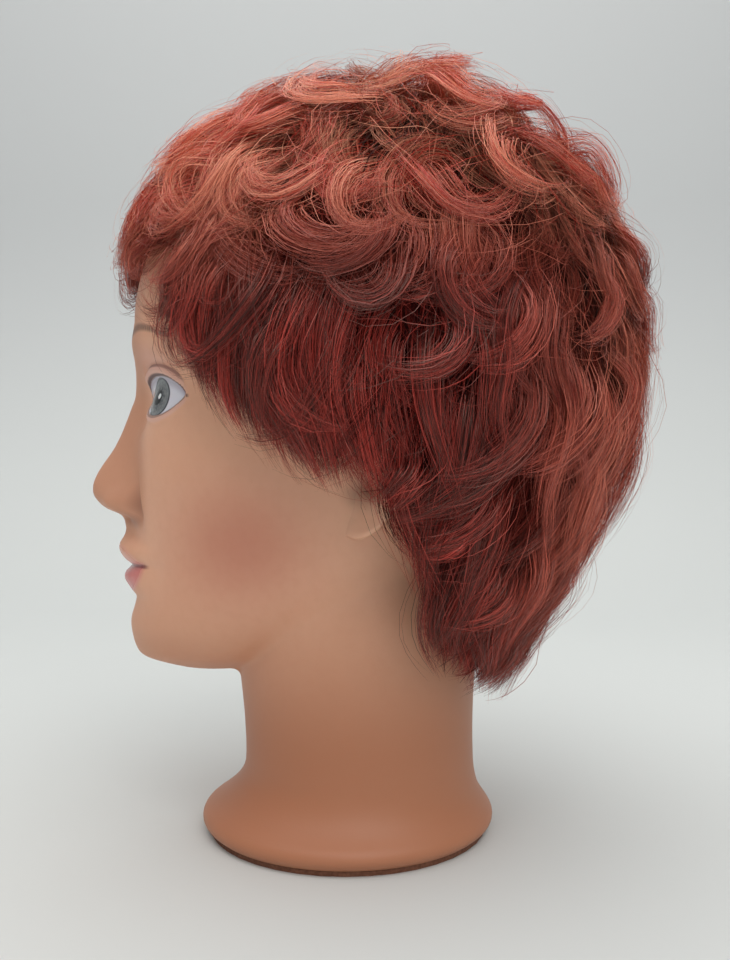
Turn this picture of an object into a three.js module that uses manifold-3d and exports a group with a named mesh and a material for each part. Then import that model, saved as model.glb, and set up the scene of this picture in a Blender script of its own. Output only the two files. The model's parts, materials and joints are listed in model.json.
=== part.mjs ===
// Mannequin training head: a soft vinyl head on a weighted neck base, wearing a curly wig.
// Millimetres, +Z up, the face looks along -Y and the head's left is +X.
import * as THREE from 'three';
import { mergeVertices } from 'three/addons/utils/BufferGeometryUtils.js';
import Module from 'manifold-3d';

const wasm = await Module();
wasm.setup();

// ---- Main sizes. Heights are above the table, y is from the centre of the round base. ----
const HEAD_TOP = 291;
const CRANIUM_LEVEL = 205; // above this height the skull is half an ellipsoid
const CRANIUM_MIDDLE = 8;
const CRANIUM_HALF_LENGTH = 95.5;
const CRANIUM_HALF_WIDTH = 77;
const CRANIUM_WIDEST = 12; // behind the cranium's middle
const NECK_TOP = 130; // the neck form ends here, inside the skull
const SKIN_WALL = 3.5;
const FACE_BACKING = 14; // from the plain skull's front to the hollow behind the face
const EAR_CENTRE = [71, 12, 150];
const EAR_SIZE = [8, 14, 29]; // out, across, along
const EAR_BOWL_SIZE = [4, 7, 15];
const EAR_BOWL_OUT = 8.5; // from the ear's centre to the bowl's
const EAR_LEAN = -12;
const NOSE_TIP = -107.1;
const HAIR_BACK = 126;
const HAIR_FRONT = -99;
const HAIR_MIDDLE = 14;
const HAIR_TOP = 326;
const HAIR_HALF_WIDTH = 101;
const HAIR_ROUNDNESS = 2.1;

const PAD_THICKNESS = 1.8;
const PAD_RADIUS = 57;
const SKIN_BOTTOM = 2.1;
const PLATE_THICKNESS = 3;
const PLATE_RADIUS = 49.5;
const CLAMP_BORE = 12.6; // radius of the socket that a table clamp's stud goes into
const SOCKET_WALL = 3.2;
const SOCKET_DEPTH = 70;
const BLOCK_FLANGE_RADIUS = 42;
const BLOCK_FLANGE_HEIGHT = 14;
const BLOCK_RADIUS = 24;
const BLOCK_ROOF = 3;
const BLOCK_FILLET = 4; // height of the slope above the flange
const SCREW_CIRCLE = 33;
const SCREW_RADIUS = 2;
const SCREW_HEAD_RADIUS = 4;
const SCREW_HEAD_HEIGHT = 2.2;
const SCREW_LENGTH = 14;
const SCREW_POINT = 3;
const GAP = 0.35; // between pieces that touch
const CORE_GAP = 1.5; // between the skin and the foam inside it
const CORE_BOTTOM = 44;
const SOCKET_BOTTOM = SKIN_BOTTOM + PLATE_THICKNESS + GAP;

// How finely the round pieces are divided.
const SKIN_COLUMNS = 60;
const SKIN_CROWDING = 28; // degrees that the skin's columns are drawn towards the face
const HOLLOW_COLUMNS = 28;
const CAP_COLUMNS = 44;
const CROWN_COLUMNS = 24;
const PLATE_SEGMENTS = 40;
const BLOCK_SEGMENTS = 32;
const ROOM_SEGMENTS = 24;
const HOLE_SEGMENTS = 16;
const SCREW_SEGMENTS = 12;

// The wig comes off by its nape: it rolls forward about a line across the forehead.
const PEEL_Y = -92;
const PEEL_Z = 207;
const PEEL_RANGE = 80;
const PEEL_STEP = 2;

// Layers of the wig, outward from the space the head needs.
const CAP_LAYER = [1.5, 2.4];
const TRIM_LAYER = [3.3, 4.1];
const HAIR_INNER = 5.6;
const WEFT_HEIGHT = 4;
const FRINGE_BOTTOM = 202;
const FRINGE_TOP = 224;
const CROWN_LEVEL = 255;
const CAP_SHOULDER = 226;

// ---- Forms. Each row is one height: [z, front y, back y, half width, y of the widest point]. ----
const SKULL = [
  [66, -74, -38, 12, -56],
  [72, -86, -10, 27, -48],
  [80, -88.5, 8, 37, -38],
  [90, -88, 22, 45, -26],
  [100, -87.5, 36, 51, -14],
  [112, -87.5, 52, 56, -4],
  [124, -87.5, 64, 60, 4],
  [140, -87.5, 79, 64.5, 10],
  [158, -87, 91, 68, 15],
  [176, -86.5, 99, 71.5, 18],
  [190, -87, 102, 74.5, 19],
  [205, -87.5, 103.5, 77, 20],
];
const NECK = [
  [2, -57.3, 57.3, 57.3, 0],
  [4, -59.5, 59.5, 59.5, 0],
  [6.5, -60, 60, 60, 0],
  [9, -58.6, 59, 58.6, 0],
  [12, -54.5, 57, 55, 1],
  [16, -49.5, 54.5, 51.5, 2.5],
  [21, -45, 53, 49, 4],
  [27, -42.6, 52.2, 47.8, 4.7],
  [45, -43, 52, 47.5, 4.5],
  [66, -45, 53, 48, 4],
  [90, -46, 55, 49, 4.5],
  [130, -46, 58, 50, 6],
];
// The face's outline in the middle plane: [z, y].
const FACE_PROFILE = [
  [66, -70.6], [68, -79], [70, -85], [73, -88], [80.7, -90.3], [86, -90.5], [92, -88.8],
  [95.5, -88.3], [98, -90.5], [102.6, -93.4], [106, -92.6], [108.5, -91.2], [110.5, -93.2],
  [113.5, -95.4], [116.7, -95.8], [120.5, -94.2], [124, -93.7], [128.3, -95.4], [131, -101],
  [133.4, -104.1], [136.5, -106.5], [139.2, NOSE_TIP], [142.5, -106.6], [147.6, -104.1],
  [155.4, -98.7], [159.8, -96.3], [164, -94.4], [172.5, -91.2], [178, -89.2], [194, -87.9],
  [205, -87.5],
];
// How far the middle outline spreads to each side: [z, half width].
const FACE_SPREAD = [
  [66, 14], [80, 17], [92, 16], [97, 18], [103, 20], [109, 22], [114, 19], [120, 9], [126, 9],
  [131, 13], [137, 13.5], [143, 11.5], [150, 9.5], [160, 8.5], [172, 9], [180, 12], [194, 24],
  [205, 30],
];
// Rounded features on each side of the face: [x, z, half width, half height, how far it stands out].
const FACE_FEATURES = [
  [31, 177, 17, 11, -6.5],
  [17, 171, 7, 9, -3.5],
  [31, 175.5, 11, 7, 4],
  [29, 196, 18, 7, 1.6],
  [42, 150, 17, 17, 2],
  [13, 132.5, 5.5, 5, 4.5],
  [26, 107, 6, 7, -1.5],
];
// The hair's outline below the crown: same columns as SKULL.
const HAIR = [
  [40, -40, 58, 52, 10],
  [52, -40, 62, 57, 10],
  [66, -45, 69, 63, 10],
  [84, -50, 83, 72, 10],
  [100, -55, 93, 80, 10],
  [122, -70, 106, 91, 12],
  [150, -85, 118, 98, 13],
  [177, -95, 125, 101, 14],
  [205, HAIR_FRONT, HAIR_BACK, HAIR_HALF_WIDTH, HAIR_MIDDLE],
];

// ---- Small mathematics ----

// Value of one column of a table of rows at height z, as a smooth curve through the rows.
function at(rows, z, column) {
  const last = rows.length - 1;
  if (z <= rows[0][0]) return rows[0][column];
  if (z >= rows[last][0]) return rows[last][column];
  let i = 0;
  while (rows[i + 1][0] < z) i += 1;
  const before = rows[Math.max(i - 1, 0)];
  const low = rows[i];
  const high = rows[i + 1];
  const after = rows[Math.min(i + 2, last)];
  const step = high[0] - low[0];
  const t = (z - low[0]) / step;
  const slopeLow = (step * (high[column] - before[column])) / (high[0] - before[0]);
  const slopeHigh = (step * (after[column] - low[column])) / (after[0] - low[0]);
  const t2 = t * t;
  const t3 = t2 * t;
  return (
    (2 * t3 - 3 * t2 + 1) * low[column] +
    (t3 - 2 * t2 + t) * slopeLow +
    (3 * t2 - 2 * t3) * high[column] +
    (t3 - t2) * slopeHigh
  );
}

function bell(distance, halfWidth) {
  return Math.exp(-((distance / halfWidth) ** 2));
}

// Is a point inside a rounded section with these extents?
function inSection(x, y, [front, back, half, middle], roundness) {
  const reach = y < middle ? middle - front : back - middle;
  if (reach <= 0 || half <= 0) return false;
  return Math.abs(x / half) ** roundness + Math.abs((y - middle) / reach) ** roundness <= 1;
}

// ---- The head's form ----

function columnsOf(rows, z) {
  return [1, 2, 3, 4].map((column) => at(rows, z, column));
}

function skullSection(z) {
  if (z > CRANIUM_LEVEL) {
    const share = (z - CRANIUM_LEVEL) / (HEAD_TOP - CRANIUM_LEVEL);
    const s = Math.sqrt(Math.max(1 - share * share, 0));
    return [
      CRANIUM_MIDDLE - CRANIUM_HALF_LENGTH * s,
      CRANIUM_MIDDLE + CRANIUM_HALF_LENGTH * s,
      CRANIUM_HALF_WIDTH * s,
      CRANIUM_MIDDLE + CRANIUM_WIDEST * s,
    ];
  }
  return columnsOf(SKULL, z);
}

// How far the face stands out from the plain skull at this place.
function faceRelief(x, z) {
  if (z > CRANIUM_LEVEL) return 0;
  const side = Math.abs(x);
  const middle = at(SKULL, z, 1) - at(FACE_PROFILE, z, 1);
  let relief = middle * Math.exp(-((side / at(FACE_SPREAD, z, 1)) ** 2.3));
  for (const [fx, fz, width, height, out] of FACE_FEATURES) {
    relief += out * bell(side - fx, width) * bell(z - fz, height);
  }
  return relief;
}

// The plain skull, made smaller by an inset all round and by a deeper one behind the face.
function inPlainSkull(x, y, z, inset, faceInset) {
  if (z < SKULL[0][0] || z > HEAD_TOP) return false;
  const [front, back, half, middle] = skullSection(z);
  const roundness = THREE.MathUtils.mapLinear(THREE.MathUtils.clamp(z, 110, 205), 110, 205, 1.9, 2.2);
  return inSection(x, y, [front + faceInset, back - inset, half - inset, middle], roundness);
}

function inSkull(x, y, z) {
  const forward = THREE.MathUtils.smoothstep(-y, 10, 45);
  return inPlainSkull(x, y + faceRelief(x, z) * forward, z, 0, 0);
}

function inNeck(x, y, z, inset) {
  if (z > NECK_TOP - inset) return false;
  const [front, back, half, middle] = columnsOf(NECK, z);
  return inSection(x, y, [front + inset, back - inset, half - inset, middle], 2);
}

function inHead(x, y, z) {
  return inSkull(x, y, z) || inNeck(x, y, z, 0);
}

// The ear's form: a flattened ball that leans back.
function inEar(x, y, z) {
  const lean = THREE.MathUtils.degToRad(EAR_LEAN);
  const dy = y - EAR_CENTRE[1];
  const dz = z - EAR_CENTRE[2];
  const along = dz * Math.cos(lean) + dy * Math.sin(lean);
  const across = dy * Math.cos(lean) - dz * Math.sin(lean);
  const out = (Math.abs(x) - EAR_CENTRE[0]) / EAR_SIZE[0];
  return out ** 2 + (across / EAR_SIZE[1]) ** 2 + (along / EAR_SIZE[2]) ** 2 <= 1;
}

// The inside of the vinyl skin: plainer than the face, and wide at the bottom for the base plate.
function inHollow(x, y, z, inset) {
  if (z < SKIN_BOTTOM + PLATE_THICKNESS + GAP) return Math.hypot(x, y) <= PLATE_RADIUS + 1 - inset;
  const wall = SKIN_WALL + inset;
  const below = inPlainSkull(x, y, z - wall, wall, FACE_BACKING + inset);
  const above = inPlainSkull(x, y, z + wall, wall, FACE_BACKING + inset);
  return (below && above) || inNeck(x, y, z, wall);
}

// ---- Rays: azimuth is 0 at the face, 90 at the head's left, 180 at the back. ----
// A level is a height up to SPINE_TOP, and above it SPINE_TOP plus degrees up from level.
const SPINE_TOP = 195;
const SPINE_Y = 12;
const STRAIGHT_UP = SPINE_TOP + 90;
const FOOT_TOP = 27; // the spine leans back to SPINE_Y below this height
const JAW_TILT = 18;
const TILT = [[45, 0], [90, JAW_TILT], [105, JAW_TILT], [SPINE_TOP, 0]];
const FAR = 150;

function ray(azimuth, level) {
  const turn = THREE.MathUtils.degToRad(azimuth);
  const rise = THREE.MathUtils.degToRad(Math.max(level - SPINE_TOP, 0));
  const lean = THREE.MathUtils.clamp(level, SKIN_BOTTOM, FOOT_TOP);
  const spineY = THREE.MathUtils.mapLinear(lean, SKIN_BOTTOM, FOOT_TOP, 0, SPINE_Y);
  const tilt = Math.tan(THREE.MathUtils.degToRad(at(TILT, level, 1)));
  const direction = new THREE.Vector3(
    Math.sin(turn) * Math.cos(rise),
    -Math.cos(turn) * Math.cos(rise),
    Math.sin(rise) - Math.cos(turn) * tilt,
  );
  return { from: new THREE.Vector3(0, spineY, Math.min(level, SPINE_TOP)), direction };
}

// The outermost point along a ray that is inside a form, moved out by an offset.
function surfacePoint(azimuth, level, inside, offset = 0) {
  const { from, direction } = ray(azimuth, level);
  const test = (r) => inside(from.x + direction.x * r, from.y + direction.y * r, from.z + direction.z * r);
  const coarse = 3;
  let low = FAR;
  while (low > 0 && !test(low)) low -= coarse;
  let high = low + coarse;
  for (let i = 0; i < 12; i += 1) {
    const middle = (low + high) / 2;
    if (test(middle)) low = middle;
    else high = middle;
  }
  return from.addScaledVector(direction, Math.max(low, 0) + offset);
}

// The space that the head needs while the wig rolls forward over it.
function inPeelPath(x, y, z) {
  const dy = y - PEEL_Y;
  const dz = z - PEEL_Z;
  for (let angle = 0; angle <= PEEL_RANGE; angle += PEEL_STEP) {
    const turn = THREE.MathUtils.degToRad(angle);
    const py = PEEL_Y + dy * Math.cos(turn) - dz * Math.sin(turn);
    const pz = PEEL_Z + dy * Math.sin(turn) + dz * Math.cos(turn);
    if (inHead(x, py, pz) || inEar(x, py, pz)) return true;
  }
  return false;
}

function inHair(x, y, z) {
  if (z <= CRANIUM_LEVEL) {
    return inSection(x, y, columnsOf(HAIR, z), HAIR_ROUNDNESS);
  }
  const share = (z - CRANIUM_LEVEL) / (HAIR_TOP - CRANIUM_LEVEL);
  const s = Math.sqrt(Math.max(1 - share * share, 0));
  const front = THREE.MathUtils.lerp(HAIR_MIDDLE, HAIR_FRONT, s);
  const back = THREE.MathUtils.lerp(HAIR_MIDDLE, HAIR_BACK, s);
  return inSection(x, y, [front, back, HAIR_HALF_WIDTH * s, HAIR_MIDDLE], HAIR_ROUNDNESS);
}

// ---- Solids ----

function closed(geometry) {
  geometry.deleteAttribute('normal');
  geometry.deleteAttribute('uv');
  return mergeVertices(geometry, 1e-4);
}

function solid(geometry) {
  const merged = closed(geometry.clone());
  return new wasm.Manifold(
    new wasm.Mesh({
      numProp: 3,
      vertProperties: new Float32Array(merged.attributes.position.array),
      triVerts: new Uint32Array(merged.index.array),
    }),
  );
}

function geometryOf(manifold) {
  const { vertProperties, triVerts } = manifold.getMesh();
  const geometry = new THREE.BufferGeometry();
  geometry.setAttribute('position', new THREE.BufferAttribute(vertProperties, 3));
  geometry.setIndex(new THREE.BufferAttribute(triVerts, 1));
  geometry.computeVertexNormals();
  return geometry;
}

// A sphere's grid with each point moved. rowPlace gets the row, counted from the bottom, and azimuth.
function movedSphere(columns, rows, crowding, rowPlace) {
  const geometry = closed(new THREE.SphereGeometry(1, columns, rows));
  const place = geometry.attributes.position;
  for (let i = 0; i < place.count; i += 1) {
    const unit = new THREE.Vector3().fromBufferAttribute(place, i);
    const row = Math.round((1 - Math.acos(THREE.MathUtils.clamp(unit.y, -1, 1)) / Math.PI) * rows);
    const turn = Math.atan2(unit.x, unit.z);
    const azimuth = THREE.MathUtils.radToDeg(turn) - crowding * Math.sin(turn);
    const point = rowPlace(row, azimuth);
    place.setXYZ(i, point.x, point.y, point.z);
  }
  geometry.computeVertexNormals();
  return geometry;
}

// A closed form round the spine, with a flat bottom.
function form(inside, levels, columns, crowding, bottom) {
  const rows = levels.length + 1;
  return movedSphere(columns, rows, crowding, (row, azimuth) => {
    if (row === 0) return new THREE.Vector3(0, 0, bottom);
    if (row === rows) return surfacePoint(0, STRAIGHT_UP, inside);
    const point = surfacePoint(azimuth, levels[row - 1], inside);
    if (row === 1) point.z = bottom;
    return point;
  });
}

// A cup over the crown, between two layers, down to an edge whose level depends on the azimuth.
// The rows are level as far down as the shoulder, and below it they spread out to the edge.
function cup(columns, above, below, shoulder, edgeAt, [inner, outer]) {
  const steps = above + below;
  return movedSphere(columns, 2 * steps + 1, 0, (row, azimuth) => {
    const isOuter = row > steps;
    const down = isOuter ? 2 * steps + 1 - row : row;
    const level =
      down <= above
        ? THREE.MathUtils.lerp(STRAIGHT_UP, shoulder, down / above)
        : THREE.MathUtils.lerp(shoulder, edgeAt(azimuth), (down - above) / below);
    return isOuter ? outer(azimuth, level) : inner(azimuth, level);
  });
}

// A curved patch of a layer, such as a strip of cloth or a slab of hair.
function patch([from, to], lowAt, highAt, [columns, rows], [inner, outer]) {
  const geometry = closed(new THREE.BoxGeometry(1, 1, 1, columns, rows, 1));
  const place = geometry.attributes.position;
  for (let i = 0; i < place.count; i += 1) {
    const azimuth = THREE.MathUtils.lerp(from, to, place.getX(i) + 0.5);
    const level = THREE.MathUtils.lerp(lowAt(azimuth), highAt(azimuth), place.getY(i) + 0.5);
    const point = place.getZ(i) > 0 ? outer(azimuth, level) : inner(azimuth, level);
    place.setXYZ(i, point.x, point.y, point.z);
  }
  geometry.computeVertexNormals();
  return geometry;
}

function layer([inner, outer]) {
  const surface = (offset) => (azimuth, level) => surfacePoint(azimuth, level, inPeelPath, offset);
  return [surface(inner), surface(outer)];
}

function hairLayer() {
  const inner = (azimuth, level) => surfacePoint(azimuth, level, inPeelPath, HAIR_INNER);
  const outer = (azimuth, level) => surfacePoint(azimuth, level, inHair);
  return [inner, outer];
}

function range(first, last, step) {
  const count = Math.round((last - first) / step);
  return Array.from({ length: count + 1 }, (_, i) => first + ((last - first) * i) / count);
}

function fromFace(azimuth) {
  const turn = ((azimuth % 360) + 360) % 360;
  return Math.min(turn, 360 - turn);
}

// ---- Materials ----

function vinyl() {
  return new THREE.MeshStandardMaterial({ color: 0xe9b79d, roughness: 0.42, metalness: 0 });
}

function foam() {
  return new THREE.MeshStandardMaterial({ color: 0xe8dfc4, roughness: 0.95, metalness: 0 });
}

function darkPlastic() {
  return new THREE.MeshStandardMaterial({ color: 0x2b2724, roughness: 0.5, metalness: 0 });
}

function brownPad() {
  return new THREE.MeshStandardMaterial({ color: 0x4a2c20, roughness: 0.9, metalness: 0 });
}

function screwSteel() {
  return new THREE.MeshStandardMaterial({ color: 0xb9bcc0, roughness: 0.35, metalness: 1 });
}

function capNet() {
  return new THREE.MeshStandardMaterial({ color: 0x2a1712, roughness: 0.9, metalness: 0 });
}

function edgeTape() {
  return new THREE.MeshStandardMaterial({ color: 0xd9a58b, roughness: 0.85, metalness: 0 });
}

function curlyHair() {
  return new THREE.MeshStandardMaterial({ color: 0x6e2415, roughness: 0.4, metalness: 0 });
}

function add(group, name, geometry, material) {
  const mesh = new THREE.Mesh(geometry, material);
  mesh.name = name;
  group.add(mesh);
  return mesh;
}

// ---- The head ----

const SKIN_LEVELS = [
  SKIN_BOTTOM, 4, 6.5, 9, 12, 16, 21, 27, 38, 52, 64, 71, 77, 82, 86, 90, ...range(94, 190, 4),
  ...range(SPINE_TOP, SPINE_TOP + 80, 8),
];
const HOLLOW_LEVELS = [
  0, 5.4, 5.6, 12, 22, 45, 66, 80, 90, ...range(100, 190, 10), ...range(SPINE_TOP, SPINE_TOP + 75, 15),
];

// A flattened ball that leans like the ear, on the head's left (side 1) or right (side -1).
function earBall(size, shift, side) {
  const geometry = new THREE.SphereGeometry(1, 16, 12);
  geometry.scale(...size);
  geometry.rotateX(THREE.MathUtils.degToRad(EAR_LEAN));
  geometry.translate(EAR_CENTRE[0] + shift, EAR_CENTRE[1], EAR_CENTRE[2]);
  const ball = solid(geometry);
  return side < 0 ? ball.mirror([1, 0, 0]) : ball;
}

function headSkin() {
  const hollow = (x, y, z) => inHollow(x, y, z, 0);
  const inner = solid(form(hollow, HOLLOW_LEVELS, HOLLOW_COLUMNS, 0, 0));
  let skin = solid(form(inHead, SKIN_LEVELS, SKIN_COLUMNS, SKIN_CROWDING, SKIN_BOTTOM));
  for (const side of [1, -1]) {
    skin = skin.add(earBall(EAR_SIZE, 0, side));
    skin = skin.subtract(earBall(EAR_BOWL_SIZE, EAR_BOWL_OUT, side));
  }
  return geometryOf(skin.subtract(inner));
}

function foamCore() {
  const levels = HOLLOW_LEVELS.filter((height) => height > CORE_BOTTOM);
  const inside = (x, y, z) => inHollow(x, y, z, CORE_GAP);
  const filling = solid(form(inside, levels, HOLLOW_COLUMNS, 0, CORE_BOTTOM));
  const roof = SOCKET_BOTTOM + SOCKET_DEPTH + SOCKET_WALL + BLOCK_ROOF + 2 * GAP;
  const room = new THREE.CylinderGeometry(BLOCK_RADIUS + GAP, BLOCK_RADIUS + GAP, roof, ROOM_SEGMENTS);
  room.rotateX(Math.PI / 2);
  room.translate(0, 0, roof / 2);
  return geometryOf(filling.subtract(solid(room)));
}

function turned(points, segments) {
  const geometry = new THREE.LatheGeometry(points.map(([r, z]) => new THREE.Vector2(r, z)), segments);
  return geometry.rotateX(Math.PI / 2);
}

function ring(inside, outside, bottom, top) {
  const outline = [
    [inside, bottom],
    [outside, bottom],
    [outside, top],
    [inside, top],
    [inside, bottom],
  ];
  return turned(outline, PLATE_SEGMENTS);
}

function screwPlaces() {
  return [45, 135, 225, 315].map((degrees) => {
    const turn = THREE.MathUtils.degToRad(degrees);
    return [SCREW_CIRCLE * Math.cos(turn), SCREW_CIRCLE * Math.sin(turn)];
  });
}

// A piece with a round hole for each screw.
function drilled(geometry, radius, bottom, top, headRadius) {
  let piece = solid(geometry);
  for (const [x, y] of screwPlaces()) {
    const outline = [
      [0, bottom],
      [headRadius, bottom],
      [headRadius, bottom + 1],
      [radius, bottom + 1 + SCREW_HEAD_HEIGHT],
      [radius, top],
      [0, top],
    ];
    piece = piece.subtract(solid(turned(outline, HOLE_SEGMENTS).translate(x, y, 0)));
  }
  return geometryOf(piece);
}

function basePlate() {
  const top = SKIN_BOTTOM + PLATE_THICKNESS;
  const plate = ring(CLAMP_BORE + GAP, PLATE_RADIUS, SKIN_BOTTOM, top);
  return drilled(plate, SCREW_RADIUS + GAP, SKIN_BOTTOM - 1, top + 1, SCREW_HEAD_RADIUS + GAP);
}

function neckBlock() {
  const bottom = SOCKET_BOTTOM;
  const flangeTop = bottom + BLOCK_FLANGE_HEIGHT;
  const bore = CLAMP_BORE + SOCKET_WALL + GAP;
  const boreTop = bottom + SOCKET_DEPTH + SOCKET_WALL + GAP;
  const outline = [
    [0, boreTop],
    [bore, boreTop],
    [bore, bottom],
    [BLOCK_FLANGE_RADIUS, bottom],
    [BLOCK_FLANGE_RADIUS, flangeTop],
    [BLOCK_RADIUS, flangeTop + BLOCK_FILLET],
    [BLOCK_RADIUS, boreTop + BLOCK_ROOF],
    [0, boreTop + BLOCK_ROOF],
  ];
  const end = SKIN_BOTTOM + SCREW_LENGTH + 1;
  const hole = SCREW_RADIUS + GAP;
  return drilled(turned(outline, BLOCK_SEGMENTS), hole, SKIN_BOTTOM - 1, end, hole);
}

function clampSocket() {
  const bottom = SOCKET_BOTTOM;
  const roof = bottom + SOCKET_DEPTH;
  const outside = CLAMP_BORE + SOCKET_WALL;
  const outline = [
    [0, roof],
    [CLAMP_BORE, roof],
    [CLAMP_BORE, bottom],
    [outside, bottom],
    [outside, roof + SOCKET_WALL],
    [0, roof + SOCKET_WALL],
  ];
  return turned(outline, BLOCK_SEGMENTS);
}

// A countersunk wood screw, head down.
function screw() {
  const start = SKIN_BOTTOM;
  const end = start + SCREW_LENGTH;
  const outline = [
    [0, start],
    [SCREW_HEAD_RADIUS, start],
    [SCREW_RADIUS, start + SCREW_HEAD_HEIGHT],
    [SCREW_RADIUS, end - SCREW_POINT],
    [0, end],
  ];
  return turned(outline, SCREW_SEGMENTS);
}

function buildHead() {
  const head = new THREE.Group();
  add(head, 'head_skin', headSkin(), vinyl());
  add(head, 'foam_core', foamCore(), foam());
  add(head, 'neck_block', neckBlock(), darkPlastic());
  add(head, 'clamp_socket', clampSocket(), darkPlastic());
  add(head, 'base_plate', basePlate(), darkPlastic());
  add(head, 'base_pad', ring(CLAMP_BORE + 1, PAD_RADIUS, 0, PAD_THICKNESS), brownPad());
  screwPlaces().forEach(([x, y], i) => {
    add(head, `base_screw_${i + 1}`, screw(), screwSteel()).position.set(x, y, 0);
  });
  return head;
}

// ---- The wig ----

// The cap's lower edge, and the hair's lower edge at the sides: [degrees from the face, level].
const CAP_EDGE = [
  [0, 219], [30, 216], [50, 206], [66, 191], [82, 190], [92, 176], [100, 140], [108, 116], [125, 97],
  [150, 87], [180, 84],
];
const HAIR_EDGE = [
  [44, 190], [56, 171], [66, 157], [73, 150], [80, 142], [92, 135], [100, 127], [112, 111],
];
const TRIM = 1; // levels between trim pieces that lie side by side
const WEFT_ROWS = [[101, 122], [126, 114], [151, 105], [177, 97], [206, 60]]; // level, start
const WEFT_COLUMN = 4; // degrees
const BACK_LEVELS = [51, 106, 166]; // tops and bottoms of the slabs of hair at the back

const capEdge = (azimuth) => at(CAP_EDGE, fromFace(azimuth), 1);
const flat = (value) => () => value;

// A piece on the head's left, and its copy on the right.
function addPair(group, name, from, to, low, high, grid, makeLayer, material) {
  add(group, `${name}_left`, patch([from, to], low, high, grid, makeLayer()), material());
  add(group, `${name}_right`, patch([360 - to, 360 - from], low, high, grid, makeLayer()), material());
}

function addWefts(group) {
  WEFT_ROWS.forEach(([height, start], i) => {
    const columns = Math.ceil((180 - start) / WEFT_COLUMN);
    const strip = patch(
      [start, 360 - start], flat(height), flat(height + WEFT_HEIGHT), [columns, 1], layer(TRIM_LAYER),
    );
    add(group, `weft_row_${i + 1}`, strip, capNet());
  });
}

function addHair(group) {
  const hair = (name, azimuths, low, high, grid) => {
    add(group, name, patch(azimuths, low, high, grid, hairLayer()), curlyHair());
  };
  const sideEdge = (azimuth) => at(HAIR_EDGE, fromFace(azimuth), 1);
  const crown = cup(CROWN_COLUMNS, 2, 1, CROWN_LEVEL + 10, flat(CROWN_LEVEL), hairLayer());
  add(group, 'hair_crown_top', crown, curlyHair());
  hair('hair_crown_front', [-43, 43], flat(FRINGE_TOP + TRIM), flat(CROWN_LEVEL - TRIM), [8, 3]);
  hair('hair_crown_back', [113, 247], flat(FRINGE_TOP + TRIM), flat(CROWN_LEVEL - TRIM), [10, 3]);
  hair('hair_fringe', [-43, 43], flat(FRINGE_BOTTOM), flat(FRINGE_TOP), [10, 3]);
  addPair(group, 'hair_side', 44, 112, sideEdge, flat(CROWN_LEVEL - TRIM), [9, 9], hairLayer, curlyHair);
  hair('hair_back_upper', [113, 247], flat(BACK_LEVELS[2] + TRIM), flat(FRINGE_TOP), [12, 5]);
  hair('hair_back_lower', [113, 247], flat(BACK_LEVELS[1] + TRIM), flat(BACK_LEVELS[2]), [12, 5]);
  hair('hair_nape', [109, 251], flat(BACK_LEVELS[0]), flat(BACK_LEVELS[1]), [12, 5]);
}

function buildWig() {
  const wig = new THREE.Group();
  const cap = () => layer(CAP_LAYER);
  const trim = () => layer(TRIM_LAYER);
  add(wig, 'wig_cap', cup(CAP_COLUMNS, 7, 8, CAP_SHOULDER, capEdge, cap()), capNet());
  const bandEdge = (azimuth) => capEdge(azimuth) + TRIM;
  const bandTop = (azimuth) => capEdge(azimuth) + 6;
  add(wig, 'front_band', patch([-60, 60], bandEdge, bandTop, [20, 1], trim()), edgeTape());
  const underCap = (azimuth) => capEdge(azimuth) - TRIM;
  const napeLow = (azimuth) => capEdge(azimuth) - 9;
  add(wig, 'nape_band', patch([140, 220], napeLow, underCap, [12, 1], cap()), edgeTape());
  const strapLow = (azimuth) => capEdge(azimuth) - 7;
  const strapHigh = (azimuth) => capEdge(azimuth) - 2;
  addPair(wig, 'adjuster_strap', 121, 139, strapLow, strapHigh, [3, 1], cap, edgeTape);
  addPair(wig, 'strap_hook', 117, 120, strapLow, strapHigh, [1, 1], cap, darkPlastic);
  addPair(wig, 'ear_edge', 101, 116, bandEdge, bandTop, [3, 1], trim, edgeTape);
  addPair(wig, 'ear_tab', 67, 81, flat(164), flat(188), [3, 3], cap, edgeTape);
  addPair(wig, 'ear_tab_stay', 73, 75, flat(166), flat(187), [1, 3], trim, screwSteel);
  addWefts(wig);
  addHair(wig);
  return wig;
}

// The row's frame: the whole object's box is centred over the origin.
const object = new THREE.Group();
object.add(buildHead());
object.add(buildWig());
object.position.y = -(NOSE_TIP + HAIR_BACK) / 2;
export default object;
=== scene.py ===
"""Mannequin training head with a curly auburn wig: the visual model around the CAD frame."""
import json
import math

import bmesh
import bpy
import numpy as np
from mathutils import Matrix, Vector
from mathutils.bvhtree import BVHTree


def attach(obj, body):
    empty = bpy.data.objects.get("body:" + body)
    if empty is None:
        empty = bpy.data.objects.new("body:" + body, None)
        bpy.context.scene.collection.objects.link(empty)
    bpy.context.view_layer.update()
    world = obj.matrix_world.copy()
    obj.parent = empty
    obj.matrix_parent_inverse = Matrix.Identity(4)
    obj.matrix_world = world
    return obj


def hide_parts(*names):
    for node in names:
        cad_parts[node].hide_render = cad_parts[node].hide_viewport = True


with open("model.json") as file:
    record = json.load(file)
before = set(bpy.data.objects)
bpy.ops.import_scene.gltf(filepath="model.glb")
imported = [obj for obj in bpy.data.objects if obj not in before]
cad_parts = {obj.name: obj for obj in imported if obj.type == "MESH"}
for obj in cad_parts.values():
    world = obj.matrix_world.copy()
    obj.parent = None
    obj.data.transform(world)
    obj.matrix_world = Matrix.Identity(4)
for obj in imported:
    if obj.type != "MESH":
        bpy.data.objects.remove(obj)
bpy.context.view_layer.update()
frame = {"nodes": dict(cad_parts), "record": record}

# Millimetres inside the shape functions, metres in Blender. The head's own y is from the base's centre.
MM = 0.001
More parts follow.
